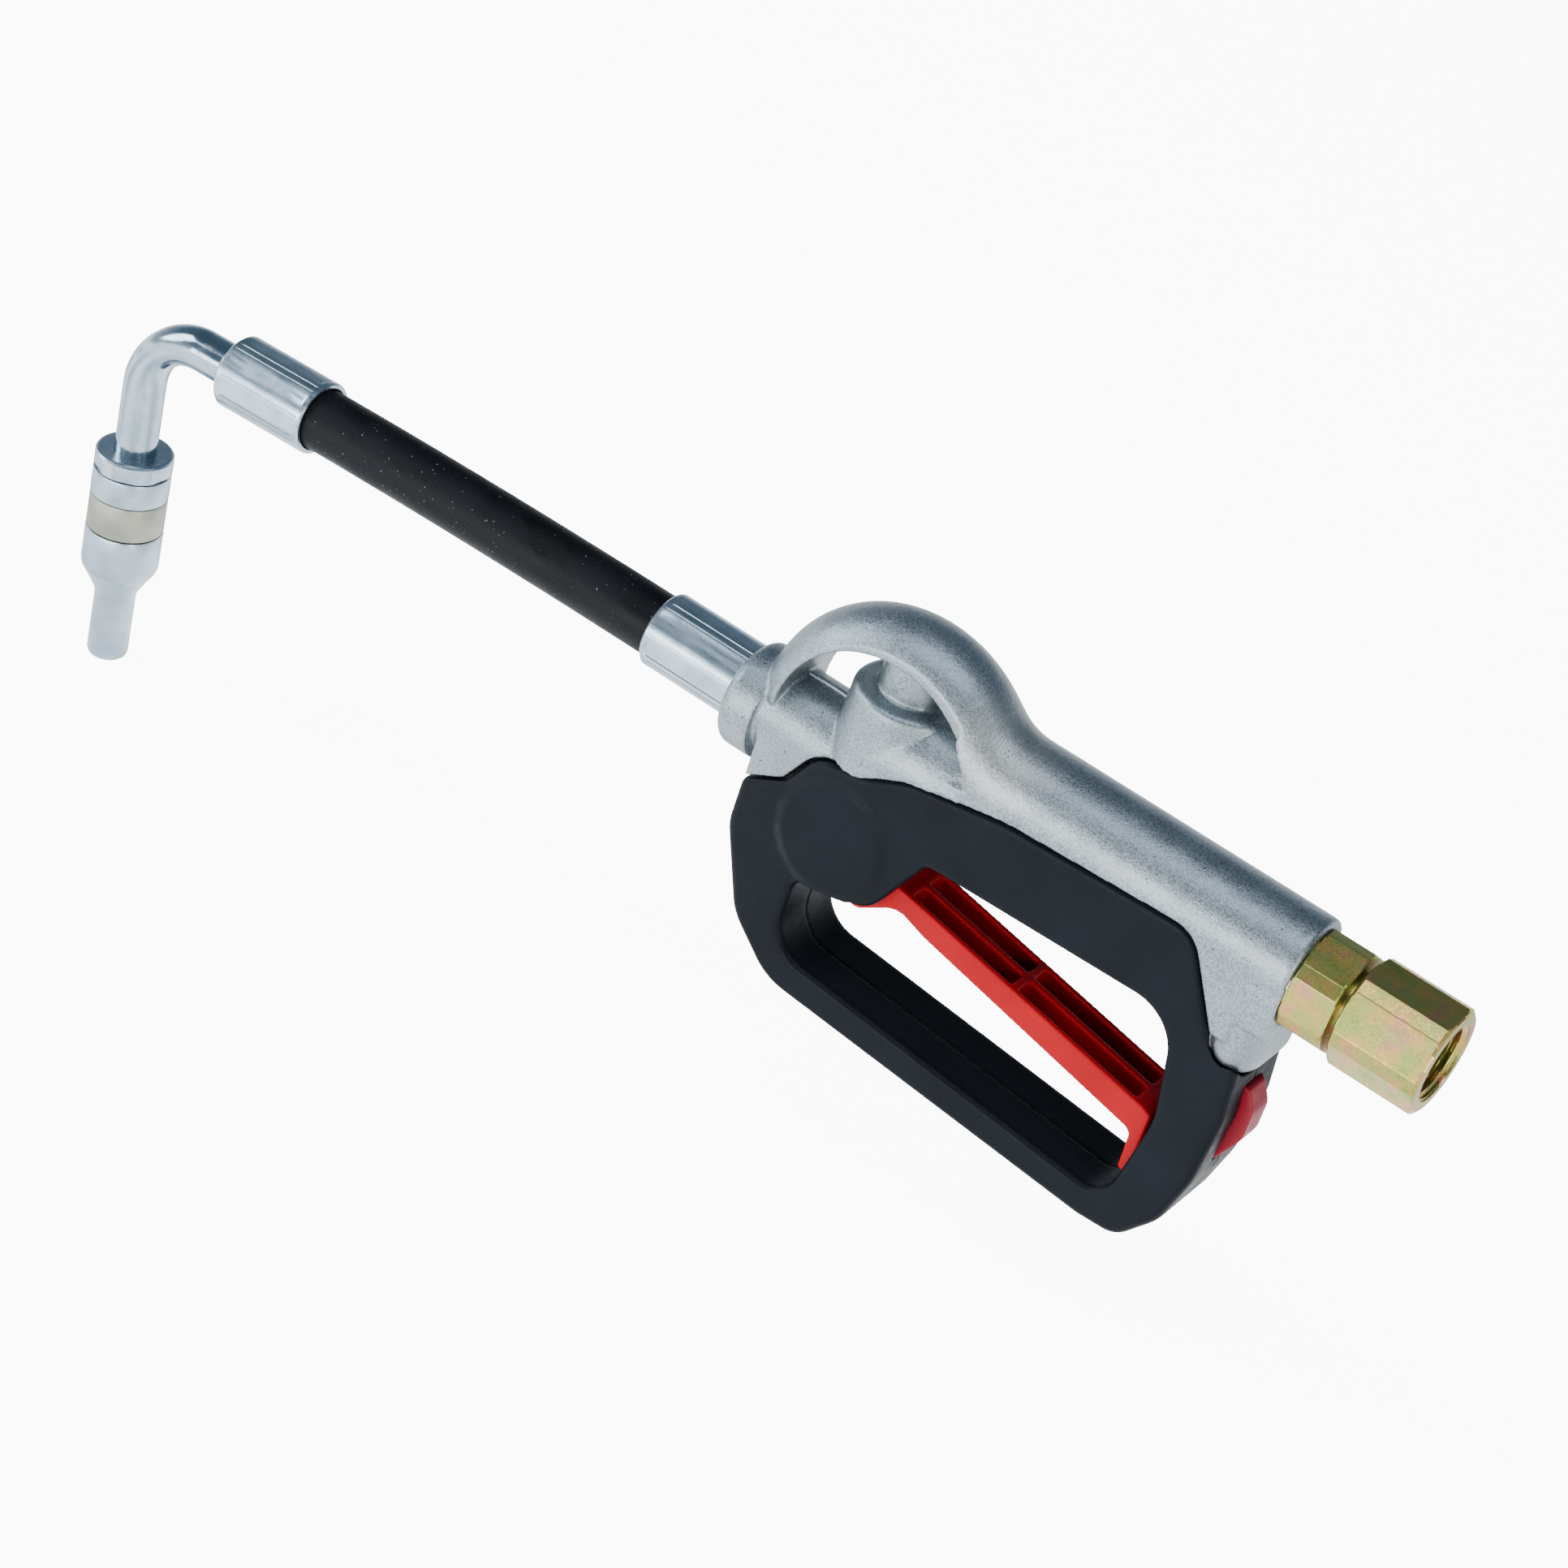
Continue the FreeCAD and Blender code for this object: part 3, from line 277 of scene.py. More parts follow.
def yellow_passivated_zinc():
    """Steel plated with zinc and dipped in chromate: gold, with patches of pink and green.

    The film's thickness varies over some millimetres, which gives the patches their colours.
    The plated steel's grain, about 0.2 mm, is drawn at 0.55 mm so that it shows.
    """
    material, tree, shader, place = new_material("yellow_passivated_zinc")
    patch = noise(tree, place, 7.5, 3.0, 0.55)
    elsewhere = add(tree, "Mapping", Vector=place, Location=(31.0, 7.0, 12.0)).outputs["Vector"]
    second = noise(tree, elsewhere, 5.0, 2.0)
    film = ramp(tree, patch, (0.34, "#97a450"), (0.45, "#bfa95c"), (0.54, "#d0aa62"), (0.64, "#d18c79"))
    film = blend_colours(tree, spread(tree, second, 0.0, 0.8, 0.46, 0.6), film, linear("#a3ad62"))
    grain = noise(tree, place, 0.55, 4.0, 0.65)
    film = blend_colours(tree, spread(tree, grain, 0.0, 0.5, 0.35, 0.7), film, linear("#75703a"))
    tree.links.new(film, shader.inputs["Base Color"])
    tree.links.new(spread(tree, grain, 0.24, 0.42), shader.inputs["Roughness"])
    relief = bump(tree, grain, 0.03)
    relief = bump(tree, noise(tree, place, 3.0, 2.0), 0.04, relief)
    tree.links.new(relief, shader.inputs["Normal"])
    set_sockets(shader, Metallic=0.95)
    return material


def bright_zinc(name, light, dark, rough_low, rough_high, lay):
    """Bright zinc plate over turned or drawn steel: a blue-white mirror with faint tool marks.

    Lay scales the marks along X, Y and Z: the axis with the lowest number is the way that they run.
    The marks are really about 0.1 mm apart, and are drawn at up to 0.9 mm so that they show.
    """
    material, tree, shader, place = new_material(name)
    drawn = add(tree, "Mapping", Vector=place, Scale=lay).outputs["Vector"]
    marks = noise(tree, drawn, 0.9, 4.0, 0.6)
    cloud = noise(tree, place, 8.0, 3.0)
    colour = ramp(tree, cloud, (0.3, dark), (0.7, light))
    tree.links.new(colour, shader.inputs["Base Color"])
    tree.links.new(spread(tree, marks, rough_low, rough_high), shader.inputs["Roughness"])
    relief = bump(tree, marks, 0.018)
    relief = bump(tree, noise(tree, place, 4.0, 2.0), 0.05, relief)
    tree.links.new(relief, shader.inputs["Normal"])
    set_sockets(shader, Metallic=1.0)
    return material


def hose_rubber():
    """Rubber extruded and cured in a wrap of wet cloth: near black and dull, with chalky specks.

    The cloth leaves the faint line of its edge where each turn of the wrap ends.
    """
    material, tree, shader, place = new_material("hose_rubber")
    cells = add(tree, "TexVoronoi", Vector=place, Scale=1 / 1.5, Randomness=1.0).outputs["Distance"]
    specks = spread(tree, cells, 1.0, 0.0, 0.07, 0.17)
    some = spread(tree, noise(tree, place, 1.1, 2.0), 0.0, 1.0, 0.5, 0.62)
    specks = math_node(tree, "MULTIPLY", specks, some)
    cloud = noise(tree, place, 12.0, 4.0)
    colour = ramp(tree, cloud, (0.3, "#07090c"), (0.7, "#0e1115"))
    colour = blend_colours(tree, math_node(tree, "MULTIPLY", specks, 0.6), colour, linear("#8b9697"))
    wrap = add(tree, "TexWave", {"bands_direction": "DIAGONAL"}, Vector=place, Scale=0.0045, Distortion=1.5,
               Detail=1.0).outputs["Fac"]
    seam = spread(tree, wrap, 1.0, 0.0, 0.004, 0.03)
    colour = blend_colours(tree, math_node(tree, "MULTIPLY", seam, 0.6), colour, linear("#07090b"))
    tree.links.new(colour, shader.inputs["Base Color"])
    tree.links.new(spread(tree, cloud, 0.42, 0.6), shader.inputs["Roughness"])
    relief = bump(tree, noise(tree, place, 0.6, 4.0, 0.6), 0.06)
    relief = bump(tree, math_node(tree, "SUBTRACT", 1.0, seam), 0.12, relief)
    tree.links.new(relief, shader.inputs["Normal"])
    set_sockets(shader, IOR=1.52, Specular_IOR_Level=0.12)
    return material


def plain_rubber():
    """Moulded nitrile rubber, as in any seal: dull black with almost no grain."""
    return moulded_plastic("seal_rubber", "#15171a", "#1d2023", 0.55, 0.7, 0.03, 0.35)


def braided_wire():
    """Brass-coated steel wire, braided under the cover: a fine weave of bands, with painted shade that
    darkens the low gaps between them.

    The wires are about 0.3 mm thick. Each band stands for a bundle of them.
    """
    material, tree, shader, place = new_material("braided_wire")
    mirrored = add(tree, "Mapping", Vector=place, Scale=(1.0, -1.0, 1.0)).outputs["Vector"]
    first, second = (add(tree, "TexWave", {"bands_direction": "DIAGONAL"}, Vector=way, Scale=0.35)
                     for way in (place, mirrored))
    weave = math_node(tree, "MAXIMUM", first.outputs["Fac"], second.outputs["Fac"])
    # the colour follows the weave's height: painted shade, darker where the bands dip into the gaps between
    # them
    tree.links.new(ramp(tree, weave, (0.2, "#6a5c3c"), (0.9, "#c9b98a")), shader.inputs["Base Color"])
    tree.links.new(bump(tree, weave, 0.15), shader.inputs["Normal"])
    set_sockets(shader, Metallic=1.0, Roughness=0.35)
    return material


def turned_brass():
    """Brass turned in a lathe and left plain: warm yellow with fine rings."""
    return bright_zinc("turned_brass", "#d8b466", "#b98f45", 0.2, 0.34, (1.0, 1.0, 6.0))


def spring_wire():
    """Spring steel, drawn through a die and oiled: dark blue-grey, with no lay that shows."""
    return bright_zinc("spring_wire", "#8d9296", "#5d6368", 0.25, 0.4, (1.0, 1.0, 1.0))


ALUMINIUM = cast_aluminium()
# black glass-filled nylon: its fibres keep it satin, and it mirrors little
GUARD_PLASTIC = moulded_plastic("guard_plastic", "#060b11", "#0a1119", 0.4, 0.52, 0.03, 0.11)
# red acetal from a polished mould: smoother and a little glossier than the guard
TRIGGER_PLASTIC = moulded_plastic("trigger_plastic", "#98000c", "#a60012", 0.3, 0.44, 0.02, 0.10)
# the button is moulded apart, in a darker batch of red
BUTTON_PLASTIC = moulded_plastic("button_plastic", "#7d021a", "#8c0624", 0.36, 0.5, 0.03, 0.22)
YELLOW_ZINC = yellow_passivated_zinc()
# the ferrules are crimped from drawn tube, whose marks run along them
FERRULE_ZINC = bright_zinc("ferrule_zinc", "#bccad3", "#a3b4bf", 0.22, 0.36, (0.06, 1.0, 1.0))
# the tube is drawn smooth before it is bent, so it is the brightest mirror
TUBE_ZINC = bright_zinc("tube_zinc", "#aebdc8", "#95a6b2", 0.10, 0.22, (0.2, 1.0, 0.2))
# the tip is turned in a lathe, which leaves fine rings round it
TIP_ZINC = bright_zinc("tip_zinc", "#b9c7d1", "#a0b1bd", 0.24, 0.38, (0.15, 0.15, 4.0))
# the band was rubbed with grit before plating, so it is greyer and blurs what it mirrors
BAND_ZINC = bright_zinc("satin_band_zinc", "#aaaa9c", "#929386", 0.38, 0.55, (0.3, 0.3, 3.0))
HOSE_RUBBER = hose_rubber()
SEAL_RUBBER = plain_rubber()
BRAID_WIRE = braided_wire()
BRASS = turned_brass()
# pins, screws and the stem are ground or rolled steel: plain grey and fairly bright
STEEL = bright_zinc("ground_steel", "#c9ced2", "#a5abb0", 0.18, 0.3, (1.0, 1.0, 3.0))
SPRING_STEEL = spring_wire()

MATERIAL_NODES = (
    (ALUMINIUM, "body_casting"),
    (BRASS, "valve_seat gland_nut tip_poppet"),
    (SEAL_RUBBER, "seat_o_ring valve_poppet_seal stem_seal swivel_o_ring hose_liner"
                  " outlet_seal_ring tip_o_ring"),
    (STEEL, "valve_stem adapter_seal_washer guard_screws pivot_pin trigger_roller"
            " roller_pin"),
    (SPRING_STEEL, "valve_spring swivel_snap_ring lock_button_spring tip_spring"),
    (YELLOW_ZINC, "inlet_adapter swivel_nut"),
    (BRAID_WIRE, "inlet_strainer hose_braid"),
    (GUARD_PLASTIC, "guard_near_half guard_far_half"),
    (TRIGGER_PLASTIC, "trigger"),
    (BUTTON_PLASTIC, "lock_button"),
    (HOSE_RUBBER, "hose_cover"),
    (FERRULE_ZINC, "rear_ferrule front_ferrule"),
    (TUBE_ZINC, "rear_hose_fitting front_hose_tail elbow_tube"),
    (TIP_ZINC, "tip_collar tip_ring spout_sleeve"),
    (BAND_ZINC, "tip_band"),
)
NODE_MATERIALS = {node: material for material, nodes in MATERIAL_NODES for node in nodes.split()}


def dress_nodes():
    """Gives each CAD node its material, whether it shows or a piece stands for it."""
    for name, node in frame["nodes"].items():
        node.data.materials.clear()
        node.data.materials.append(NODE_MATERIALS[name])


dress_nodes()
BODY_OF = {n: body for body, nodes in frame["record"]["behaviour"]["bodies"].items() for n in nodes}


# ---- mesh helpers ----
def put(name, mesh, material):
    """A mesh as an object in the scene, in one material."""
    obj = bpy.data.objects.new(name, mesh)
    bpy.context.scene.collection.objects.link(obj)
    mesh.materials.clear()
    mesh.materials.append(material)
    return obj


def stand_for(obj, node):
    """obj shows in place of a node and moves with its body."""
    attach(obj, BODY_OF[node])
    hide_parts(node)
    return obj


def crease(mesh, degrees=32.0):
    """Smooth faces, with a hard edge wherever two faces turn by more than some degrees."""
    shape = bmesh.new()
    shape.from_mesh(mesh)
    bmesh.ops.recalc_face_normals(shape, faces=shape.faces)
    limit = math.radians(degrees)
    for face in shape.faces:
        face.smooth = True
    for edge in shape.edges:
        edge.smooth = len(edge.link_faces) != 2 or edge.calc_face_angle(0.0) < limit
    shape.to_mesh(mesh)
    shape.free()


def softened(profile, radius=0.3):
    """A closed (along, radius) outline whose corners are cut by small arcs of three points."""
    points = [Vector(p) for p in profile]
    count = len(points)
    result = []
    for i, here in enumerate(points):
        before = points[i - 1] - here
        after = points[(i + 1) % count] - here
        reach = min(radius, 0.4 * before.length, 0.4 * after.length)
        first = here + before.normalized() * reach
        last = here + after.normalized() * reach
        result += [first, (first + last) * 0.25 + here * 0.5, last]
    return result


def ring_faces(rings, count):
    """Faces between each ring of count points and the next, with the last ring joined to the first."""
    faces = []
    for i in range(rings):
        here, there = i * count, (i + 1) % rings * count
        for j in range(count):
            k = (j + 1) % count
            faces.append((here + j, here + k, there + k, there + j))
    return faces


def turned(name, outline, origin, way, material, turn=0.0, angles=None, limit=None, soft=0.3, sharp=32.0):
    """A part turned about an axis from a closed (along, radius) outline, which limit may reshape."""
    rings = softened(outline, soft) if soft else [Vector(p) for p in outline]
    angles = angles or [2 * math.pi * i / 120 for i in range(120)]
    facing = Vector((0, 0, 1)).rotation_difference(way.normalized())
    side = facing @ Vector((1, 0, 0))
    other = facing @ Vector((0, 1, 0))
    shift = math.radians(turn)
    vertices = []
    for along, radius in rings:
        for angle in angles:
            reach = limit(angle, along, radius) if limit else radius
            out = side * math.cos(angle + shift) + other * math.sin(angle + shift)
            vertices.append((origin + way * along + out * reach) * MM)
    mesh = bpy.data.meshes.new(name)
    mesh.from_pydata(vertices, [], ring_faces(len(rings), len(angles)))
    crease(mesh, sharp)
    return put(name, mesh, material)


def hexagon_reach(flats, corner_flats, angle):
    """The radius of a hexagon with flattened corners, whose first flat faces angle 0. Its edges are worn."""
    from_flat = (angle + math.pi / 6) % (math.pi / 3) - math.pi / 6
    from_corner = angle % (math.pi / 3) - math.pi / 6
    flat = flats / 2 / math.cos(from_flat)
    corner = corner_flats / 2 / math.cos(from_corner)
    wear = 0.1
    worn = max(0.0, wear - abs(flat - corner)) ** 2 / (4 * wear)
    return min(flat, corner) - worn


def hexagon_angles(flats, corner_flats):
    """Angles round a hexagon, close together at each edge of its flats, where it is worn."""
    half, corner = flats / 2, corner_flats / 2
    edge = math.atan2(corner - half * math.cos(math.pi / 6), half * math.sin(math.pi / 6))
    found = set()
    for i in range(6):
        middle = i * math.pi / 3
        for step in (-0.8, -0.4, 0, 0.4, 0.8):
            found.add(round((middle + step * edge) % (2 * math.pi), 6))
        for step in (-0.018, -0.009, 0.0, 0.009, 0.018):
            for side in (-1, 1):
                found.add(round((middle + side * (edge + step)) % (2 * math.pi), 6))
        found.add(round((middle + math.pi / 6) % (2 * math.pi), 6))
    return sorted(found)


def swept(name, centres, radii, material, flatten=None, sides=64):
    """A closed tube with outer and inner radii along centres in the XZ plane.

    Flatten takes a share of the length and gives how much the tube is squeezed there, upward and across.
    """
    vertices = []
    count = len(centres)
    for surface in radii:
        order = range(count) if surface is radii[0] else reversed(range(count))
        for i in order:
            ahead = (centres[min(i + 1, count - 1)] - centres[max(i - 1, 0)]).normalized()
            across = Vector((0, 1, 0))
            upward = ahead.cross(across)
            squeeze = flatten(i / (count - 1)) if flatten else (1.0, 1.0)
            for j in range(sides):
                angle = 2 * math.pi * j / sides
                out = upward * math.cos(angle) * squeeze[0] + across * math.sin(angle) * squeeze[1]
                vertices.append((centres[i] + out * surface) * MM)
    mesh = bpy.data.meshes.new(name)
    mesh.from_pydata(vertices, [], ring_faces(2 * count, sides))
    crease(mesh)
    return put(name, mesh, material)


def recast(name, node, voxel, rounds, material, hold=None):
    """A node's shape with every edge and corner softened, as a mould or a pattern gives it."""
    mesh = frame["nodes"][node].data.copy()
    welded = bmesh.new()
    welded.from_mesh(mesh)
    bmesh.ops.remove_doubles(welded, verts=welded.verts, dist=2e-6)
    welded.to_mesh(mesh)
    welded.free()
    rough = bpy.data.objects.new(name + "_rough", mesh)
    bpy.context.scene.collection.objects.link(rough)
    remesh = rough.modifiers.new("even", "REMESH")
    remesh.mode = "VOXEL"
    remesh.voxel_size = voxel * MM
    fine = bpy.data.meshes.new_from_object(rough.evaluated_get(bpy.context.evaluated_depsgraph_get()))
    bpy.data.objects.remove(rough)
    smooth_mesh(fine, rounds, hold)
    fine.name = name
    for polygon in fine.polygons:
        polygon.use_smooth = True
    return put(name, fine, material)


def smooth_mesh(mesh, rounds, hold=None):
    """Moves each point towards its neighbours and back in turn, which softens edges but keeps the size.

    Hold gives 1 where a point stays and 0 where it is free.
    """
    count = len(mesh.vertices)
    places = np.empty(count * 3)
    mesh.vertices.foreach_get("co", places)
    places = places.reshape(-1, 3)
    edges = np.empty(len(mesh.edges) * 2, dtype=np.int64)
    mesh.edges.foreach_get("vertices", edges)
    edges = edges.reshape(-1, 2)
    ends = np.concatenate([edges[:, 0], edges[:, 1]])
    others = np.concatenate([edges[:, 1], edges[:, 0]])
    neighbours = np.maximum(np.bincount(ends, minlength=count), 1)
    free = np.ones(count) if hold is None else 1.0 - hold(places / MM)
    for i in range(rounds):
        step = 0.5 if i % 2 == 0 or i > rounds - 3 else -0.42
        for axis in range(3):
            mean = np.bincount(ends, weights=places[others, axis], minlength=count) / neighbours
            places[:, axis] += step * free * (mean - places[:, axis])
    mesh.vertices.foreach_set("co", places.ravel())
    mesh.update()


# ---- casting ----
BOSS_X = -160.0
VALVE_BORE_R = 9.0
VALVE_BORE_TOP = 9.2
INLET_BORE_R = 11.4


def casting_bores(places):
    """1 on the machined bores, which keep their size, and 0 on the cast skin."""
    x, y, z = places.T
    valve = (np.hypot(x - BOSS_X, y) < VALVE_BORE_R) & (z < VALVE_BORE_TOP)
    inlet = (np.hypot(y, z) < INLET_BORE_R) & (x > BOSS_X)
    outlet = (np.hypot(y, z - OUTLET_Z) < FERRULE["r"] + 1.2) & (x < BOSS_X)
    return (valve | inlet | outlet).astype(float)


def make_casting():
    """The handle's cast skin, and the ridge that the die's parting line leaves along its outlet neck."""
    skin = recast("casting_skin", "body_casting", 0.5, 7, ALUMINIUM, casting_bores)
    stand_for(skin, "body_casting")
    ridge_points = [Vector((NECK_FRONT_X, 0, NECK_TOP + 0.05)), Vector((-184.0, 0, NECK_TOP + 0.3)),
                    Vector((-179.0, 0, NECK_TOP + 0.3)), Vector((NECK_REAR_X, 0, NECK_TOP + 0.05))]
    ridge = swept("neck_parting_ridge", ridge_points, (0.75, 0.3), ALUMINIUM, sides=16)
    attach(ridge, "gun_body")


# ---- plastic parts ----
def make_plastic():
    """The guard's shells, the trigger and the button, with the small radii that their moulds give."""
    for name, node, voxel, rounds, material in (
            ("near_guard_shell", "guard_near_half", 0.42, 9, GUARD_PLASTIC),
            ("far_guard_shell", "guard_far_half", 0.42, 9, GUARD_PLASTIC),
            ("trigger_lever", "trigger", 0.42, 3, TRIGGER_PLASTIC),
            ("lock_button_cap", "lock_button", 0.34, 7, BUTTON_PLASTIC)):
        stand_for(recast(name, node, voxel, rounds, material), node)


# ---- inlet ----
CORNER_SPARE = math.cos(math.radians(8))      # makes the bar's radius larger than its widest corner
FINE_EDGES = 14.0                             # degrees, so that a hexagon's worn edges stay crisp


def chamfer_reach(along, length, corner_r, depth):
    """The largest radius that the end chamfers of a hexagon bar leave."""
    slope = 0.6
    from_end = min(along, length - along)
    return corner_r - depth + min(depth, max(from_end, 0.0) / slope)


def make_nut():
    """The swivel nut, with a helical thread in its mouth that fades out over its first turn."""
    length = mouth = NUT["length"]
    corner = NUT["corner_flats"] / 2 / CORNER_SPARE
    depth = THREAD["major_r"] - THREAD["minor_r"]
    thread_start = length - THREAD["length"]
    outside = [(0.0, corner), (0.45, corner), (0.9, corner), (2.0, corner), (length - 2.0, corner),
               (length - 0.9, corner), (length - 0.45, corner), (length - 0.05, corner)]
    inside = [(mouth, NUT_MOUTH_R), (mouth - 0.4, NUT_MOUTH_R - 0.1)]
    per_turn = 10
    steps = int((THREAD["length"] - 1.0) / THREAD["pitch"] * per_turn)
    for i in range(steps):
        inside.append((mouth - 0.5 - i * THREAD["pitch"] / per_turn, THREAD["minor_r"]))
    inside += [(thread_start - 0.3, THREAD["major_r"]), (thread_start - 3.2, THREAD["major_r"]),
               (thread_start - 3.4, SWIVEL_BORE_R), (0.0, SWIVEL_BORE_R)]

    def reach(angle, along, radius):
        if radius > THREAD["major_r"] + 1:
            return min(hexagon_reach(NUT["flats"], NUT["corner_flats"], angle),
                       chamfer_reach(along, length, corner, NUT["chamfer"]))
        if abs(radius - THREAD["minor_r"]) > 0.001:
            return radius
        phase = (along / THREAD["pitch"] - angle / (2 * math.pi)) % 1.0
        tooth = min(max(1.3 * abs(2 * phase - 1) - 0.15, 0.0), 1.0)      # flat at crest and root
        entry = min(1.0, (mouth - along) / 1.7)
        widened = (1 - entry) * (NUT_MOUTH_R - 0.1 - THREAD["minor_r"])
        return THREAD["minor_r"] + max(depth * tooth, widened)

    angles = hexagon_angles(NUT["flats"], NUT["corner_flats"])
    nut = turned("swivel_nut_body", outside + inside, Vector((-length, 0, 0)), Vector((1, 0, 0)), YELLOW_ZINC,
                 NUT["turn"], angles, reach, soft=0, sharp=FINE_EDGES)
    stand_for(nut, "swivel_nut")


def make_adapter():
    """The hexagon bar that screws into the handle, with the nose on which the nut turns."""
    length = ADAPTER["length"]
    corner = ADAPTER["corner_flats"] / 2 / CORNER_SPARE
    neck_end = -NUT["length"] - 0.3 - ADAPTER["x"]
    nose_end = neck_end + 11.0
    outline = [
        (-13.0, ADAPTER_BORE_R), (-13.0, 10.4), (-0.02, 10.4), (0.0, 12.4),
        (0.05, corner), (0.35, corner), (0.8, corner), (length - 0.8, corner), (length - 0.35, corner),
        (length - 0.05, corner), (length, 12.2), (length, ADAPTER_NECK_R), (neck_end, ADAPTER_NECK_R),
        (neck_end, NOSE_R), (nose_end - 2.4, NOSE_R), (nose_end, NOSE_R - 1.4), (nose_end, ADAPTER_BORE_R),
    ]

    def reach(angle, along, radius):
        if radius > 13:
            return min(hexagon_reach(ADAPTER["flats"], ADAPTER["corner_flats"], angle),
                       chamfer_reach(along, length, corner, ADAPTER["chamfer"]))
        return radius

    angles = hexagon_angles(ADAPTER["flats"], ADAPTER["corner_flats"])
    adapter = turned("inlet_adapter_body", outline, Vector((ADAPTER["x"], 0, 0)), Vector((1, 0, 0)),
                     YELLOW_ZINC, ADAPTER["turn"], angles, reach, soft=0, sharp=FINE_EDGES)
    stand_for(adapter, "inlet_adapter")


# ---- hose ----
def hose_centreline():
    """Points along the hose between its ferrules, read from the hose's own spline."""
    start = Vector((REAR_FERRULE_X + INTO_FERRULE, 0, OUTLET_Z))
    end = HOSE_CORNER + HOSE_FRONT * (FRONT_FERRULE_AT + INTO_FERRULE)
    curve = bpy.data.curves.new("hose_line", "CURVE")
    curve.dimensions = "3D"
    curve.resolution_u = 24
    spline = curve.splines.new("NURBS")
    spline.points.add(2)
    for point, place in zip(spline.points, (start, HOSE_CORNER, end)):
        point.co = (*place, 1.0)
    spline.order_u = 3
    spline.use_endpoint_u = True
    line = bpy.data.objects.new("hose_line", curve)
    mesh = bpy.data.meshes.new_from_object(line)
    points = [v.co.copy() for v in mesh.vertices]
    bpy.data.objects.remove(line)
    bpy.data.meshes.remove(mesh)
    return points


def make_hose():
    """The hose's three layers, which bend together. Both ends are crimped, so it is held and stiff."""
    points = hose_centreline()
    layers = (("hose_inner_tube", "hose_liner", LINER_R, HOSE_BORE_R, SEAL_RUBBER),
              ("hose_wire_braid", "hose_braid", BRAID_R, LINER_R, BRAID_WIRE),
              ("hose_outer_cover", "hose_cover", HOSE_R, BRAID_R, HOSE_RUBBER))
    for name, node, outer, inner, material in layers:
        tube = swept(name, points, (outer - LAYER_GAP, inner + LAYER_GAP), material, sides=72)
        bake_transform(tube)
        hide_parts(node)


CRIMP_JAWS = 8
JAW_ANGLE = 2 * math.pi / CRIMP_JAWS


def crimp_angles(radius):
    """Angles round a ferrule, close together at the marks that the crimping jaws leave."""
    found = {round(math.radians(5) * i, 6) for i in range(72)}
    for jaw in range(CRIMP_JAWS):
        middle = JAW_ANGLE * (jaw + 0.5)
        for offset in (-1.5, -1.25, -1.1, -0.95, -0.75, -0.35, 0.0, 0.35, 0.75, 0.95, 1.1, 1.25, 1.5):
            found.add(round((middle + offset / radius) % (2 * math.pi), 6))
    return sorted(found)


def make_ferrule(name, node, origin, way, turn):
    """A ferrule pressed by eight jaws: eight shallow flats, and a mark between each pair of jaws."""
    radius, length = FERRULE["r"], FERRULE["length"]
    back = length - FERRULE["end_wall"]
    outline = [
        (0.5, HOSE_R + 0.06), (0.0, HOSE_R + 0.5), (0.0, radius - 0.5), (0.5, radius - 0.05), (1.4, radius),
        (2.2, radius), (8.0, radius), (15.0, radius), (22.0, radius), (length - 2.4, radius),
        (length - 1.6, radius), (length - 0.7, radius), (length, radius - 0.7), (length, ELBOW_R + 0.1),
        (back, ELBOW_R + 0.1), (back, HOSE_R + 0.06),
    ]

    def reach(angle, along, radius_here):
        if radius_here < radius - 0.01 or not 1.8 < along < length - 1.8:
            return radius_here
        from_jaw = (angle + JAW_ANGLE / 2) % JAW_ANGLE - JAW_ANGLE / 2
        from_mark = (abs(from_jaw) - JAW_ANGLE / 2) * radius
        pressed = min(radius, FERRULE["flat"] / math.cos(from_jaw))
        if abs(from_mark) < 0.8:
            return pressed + 0.02
        if abs(from_mark) < 1.2:
            return pressed - 0.24
        return pressed

    part = turned(name, outline, origin, way, FERRULE_ZINC, turn, crimp_angles(radius), reach,
                  soft=0, sharp=12.0)
    stand_for(part, node)


def make_ferrules():
    rear = Vector((REAR_FERRULE_X, 0, OUTLET_Z))
    front = HOSE_CORNER + HOSE_FRONT * FRONT_FERRULE_AT
    make_ferrule("rear_crimped_ferrule", "rear_ferrule", rear, Vector((1, 0, 0)), 0.0)
    make_ferrule("front_crimped_ferrule", "front_ferrule", front, HOSE_FRONT, 180.0)


# ---- elbow and tip ----
def bent_points(start, corner, end, radius, steps=28):
    """A straight run, a tangent arc and a straight run, as points."""
    before = (start - corner).normalized()
    after = (end - corner).normalized()
    opening = before.angle(after)
    reach = radius / math.tan(opening / 2)
    centre = corner + (before + after).normalized() * (radius / math.sin(opening / 2))
    first = corner + before * reach - centre
    last = corner + after * reach - centre
    arc = [centre + first.slerp(last, i / steps) * radius for i in range(steps + 1)]
    return [start, start.lerp(arc[0], 0.5)] + arc + [arc[-1].lerp(end, 0.5), end]


def make_elbow():
    """The bent tube, from inside the front ferrule to inside the tip's collar."""
    start = HOSE_CORNER + HOSE_FRONT * (FRONT_FERRULE_AT + FERRULE["length"] - FERRULE["end_wall"] + 0.45)
    end = TIP_TOP + SPOUT_WAY * 8.0
    points = bent_points(start, ELBOW_CORNER, end, ELBOW_BEND_R)

    def flatten(share):
        """A tube bent without a mandrel goes slightly oval at the middle of its bend."""
        bend = math.sin(math.pi * min(max((share - 0.06) / 0.88, 0.0), 1.0)) ** 2
        return 1 - 0.075 * bend, 1.0

    tube = swept("elbow_bent_tube", points, (ELBOW_R, ELBOW_BORE_R), TUBE_ZINC, flatten)
    stand_for(tube, "elbow_tube")


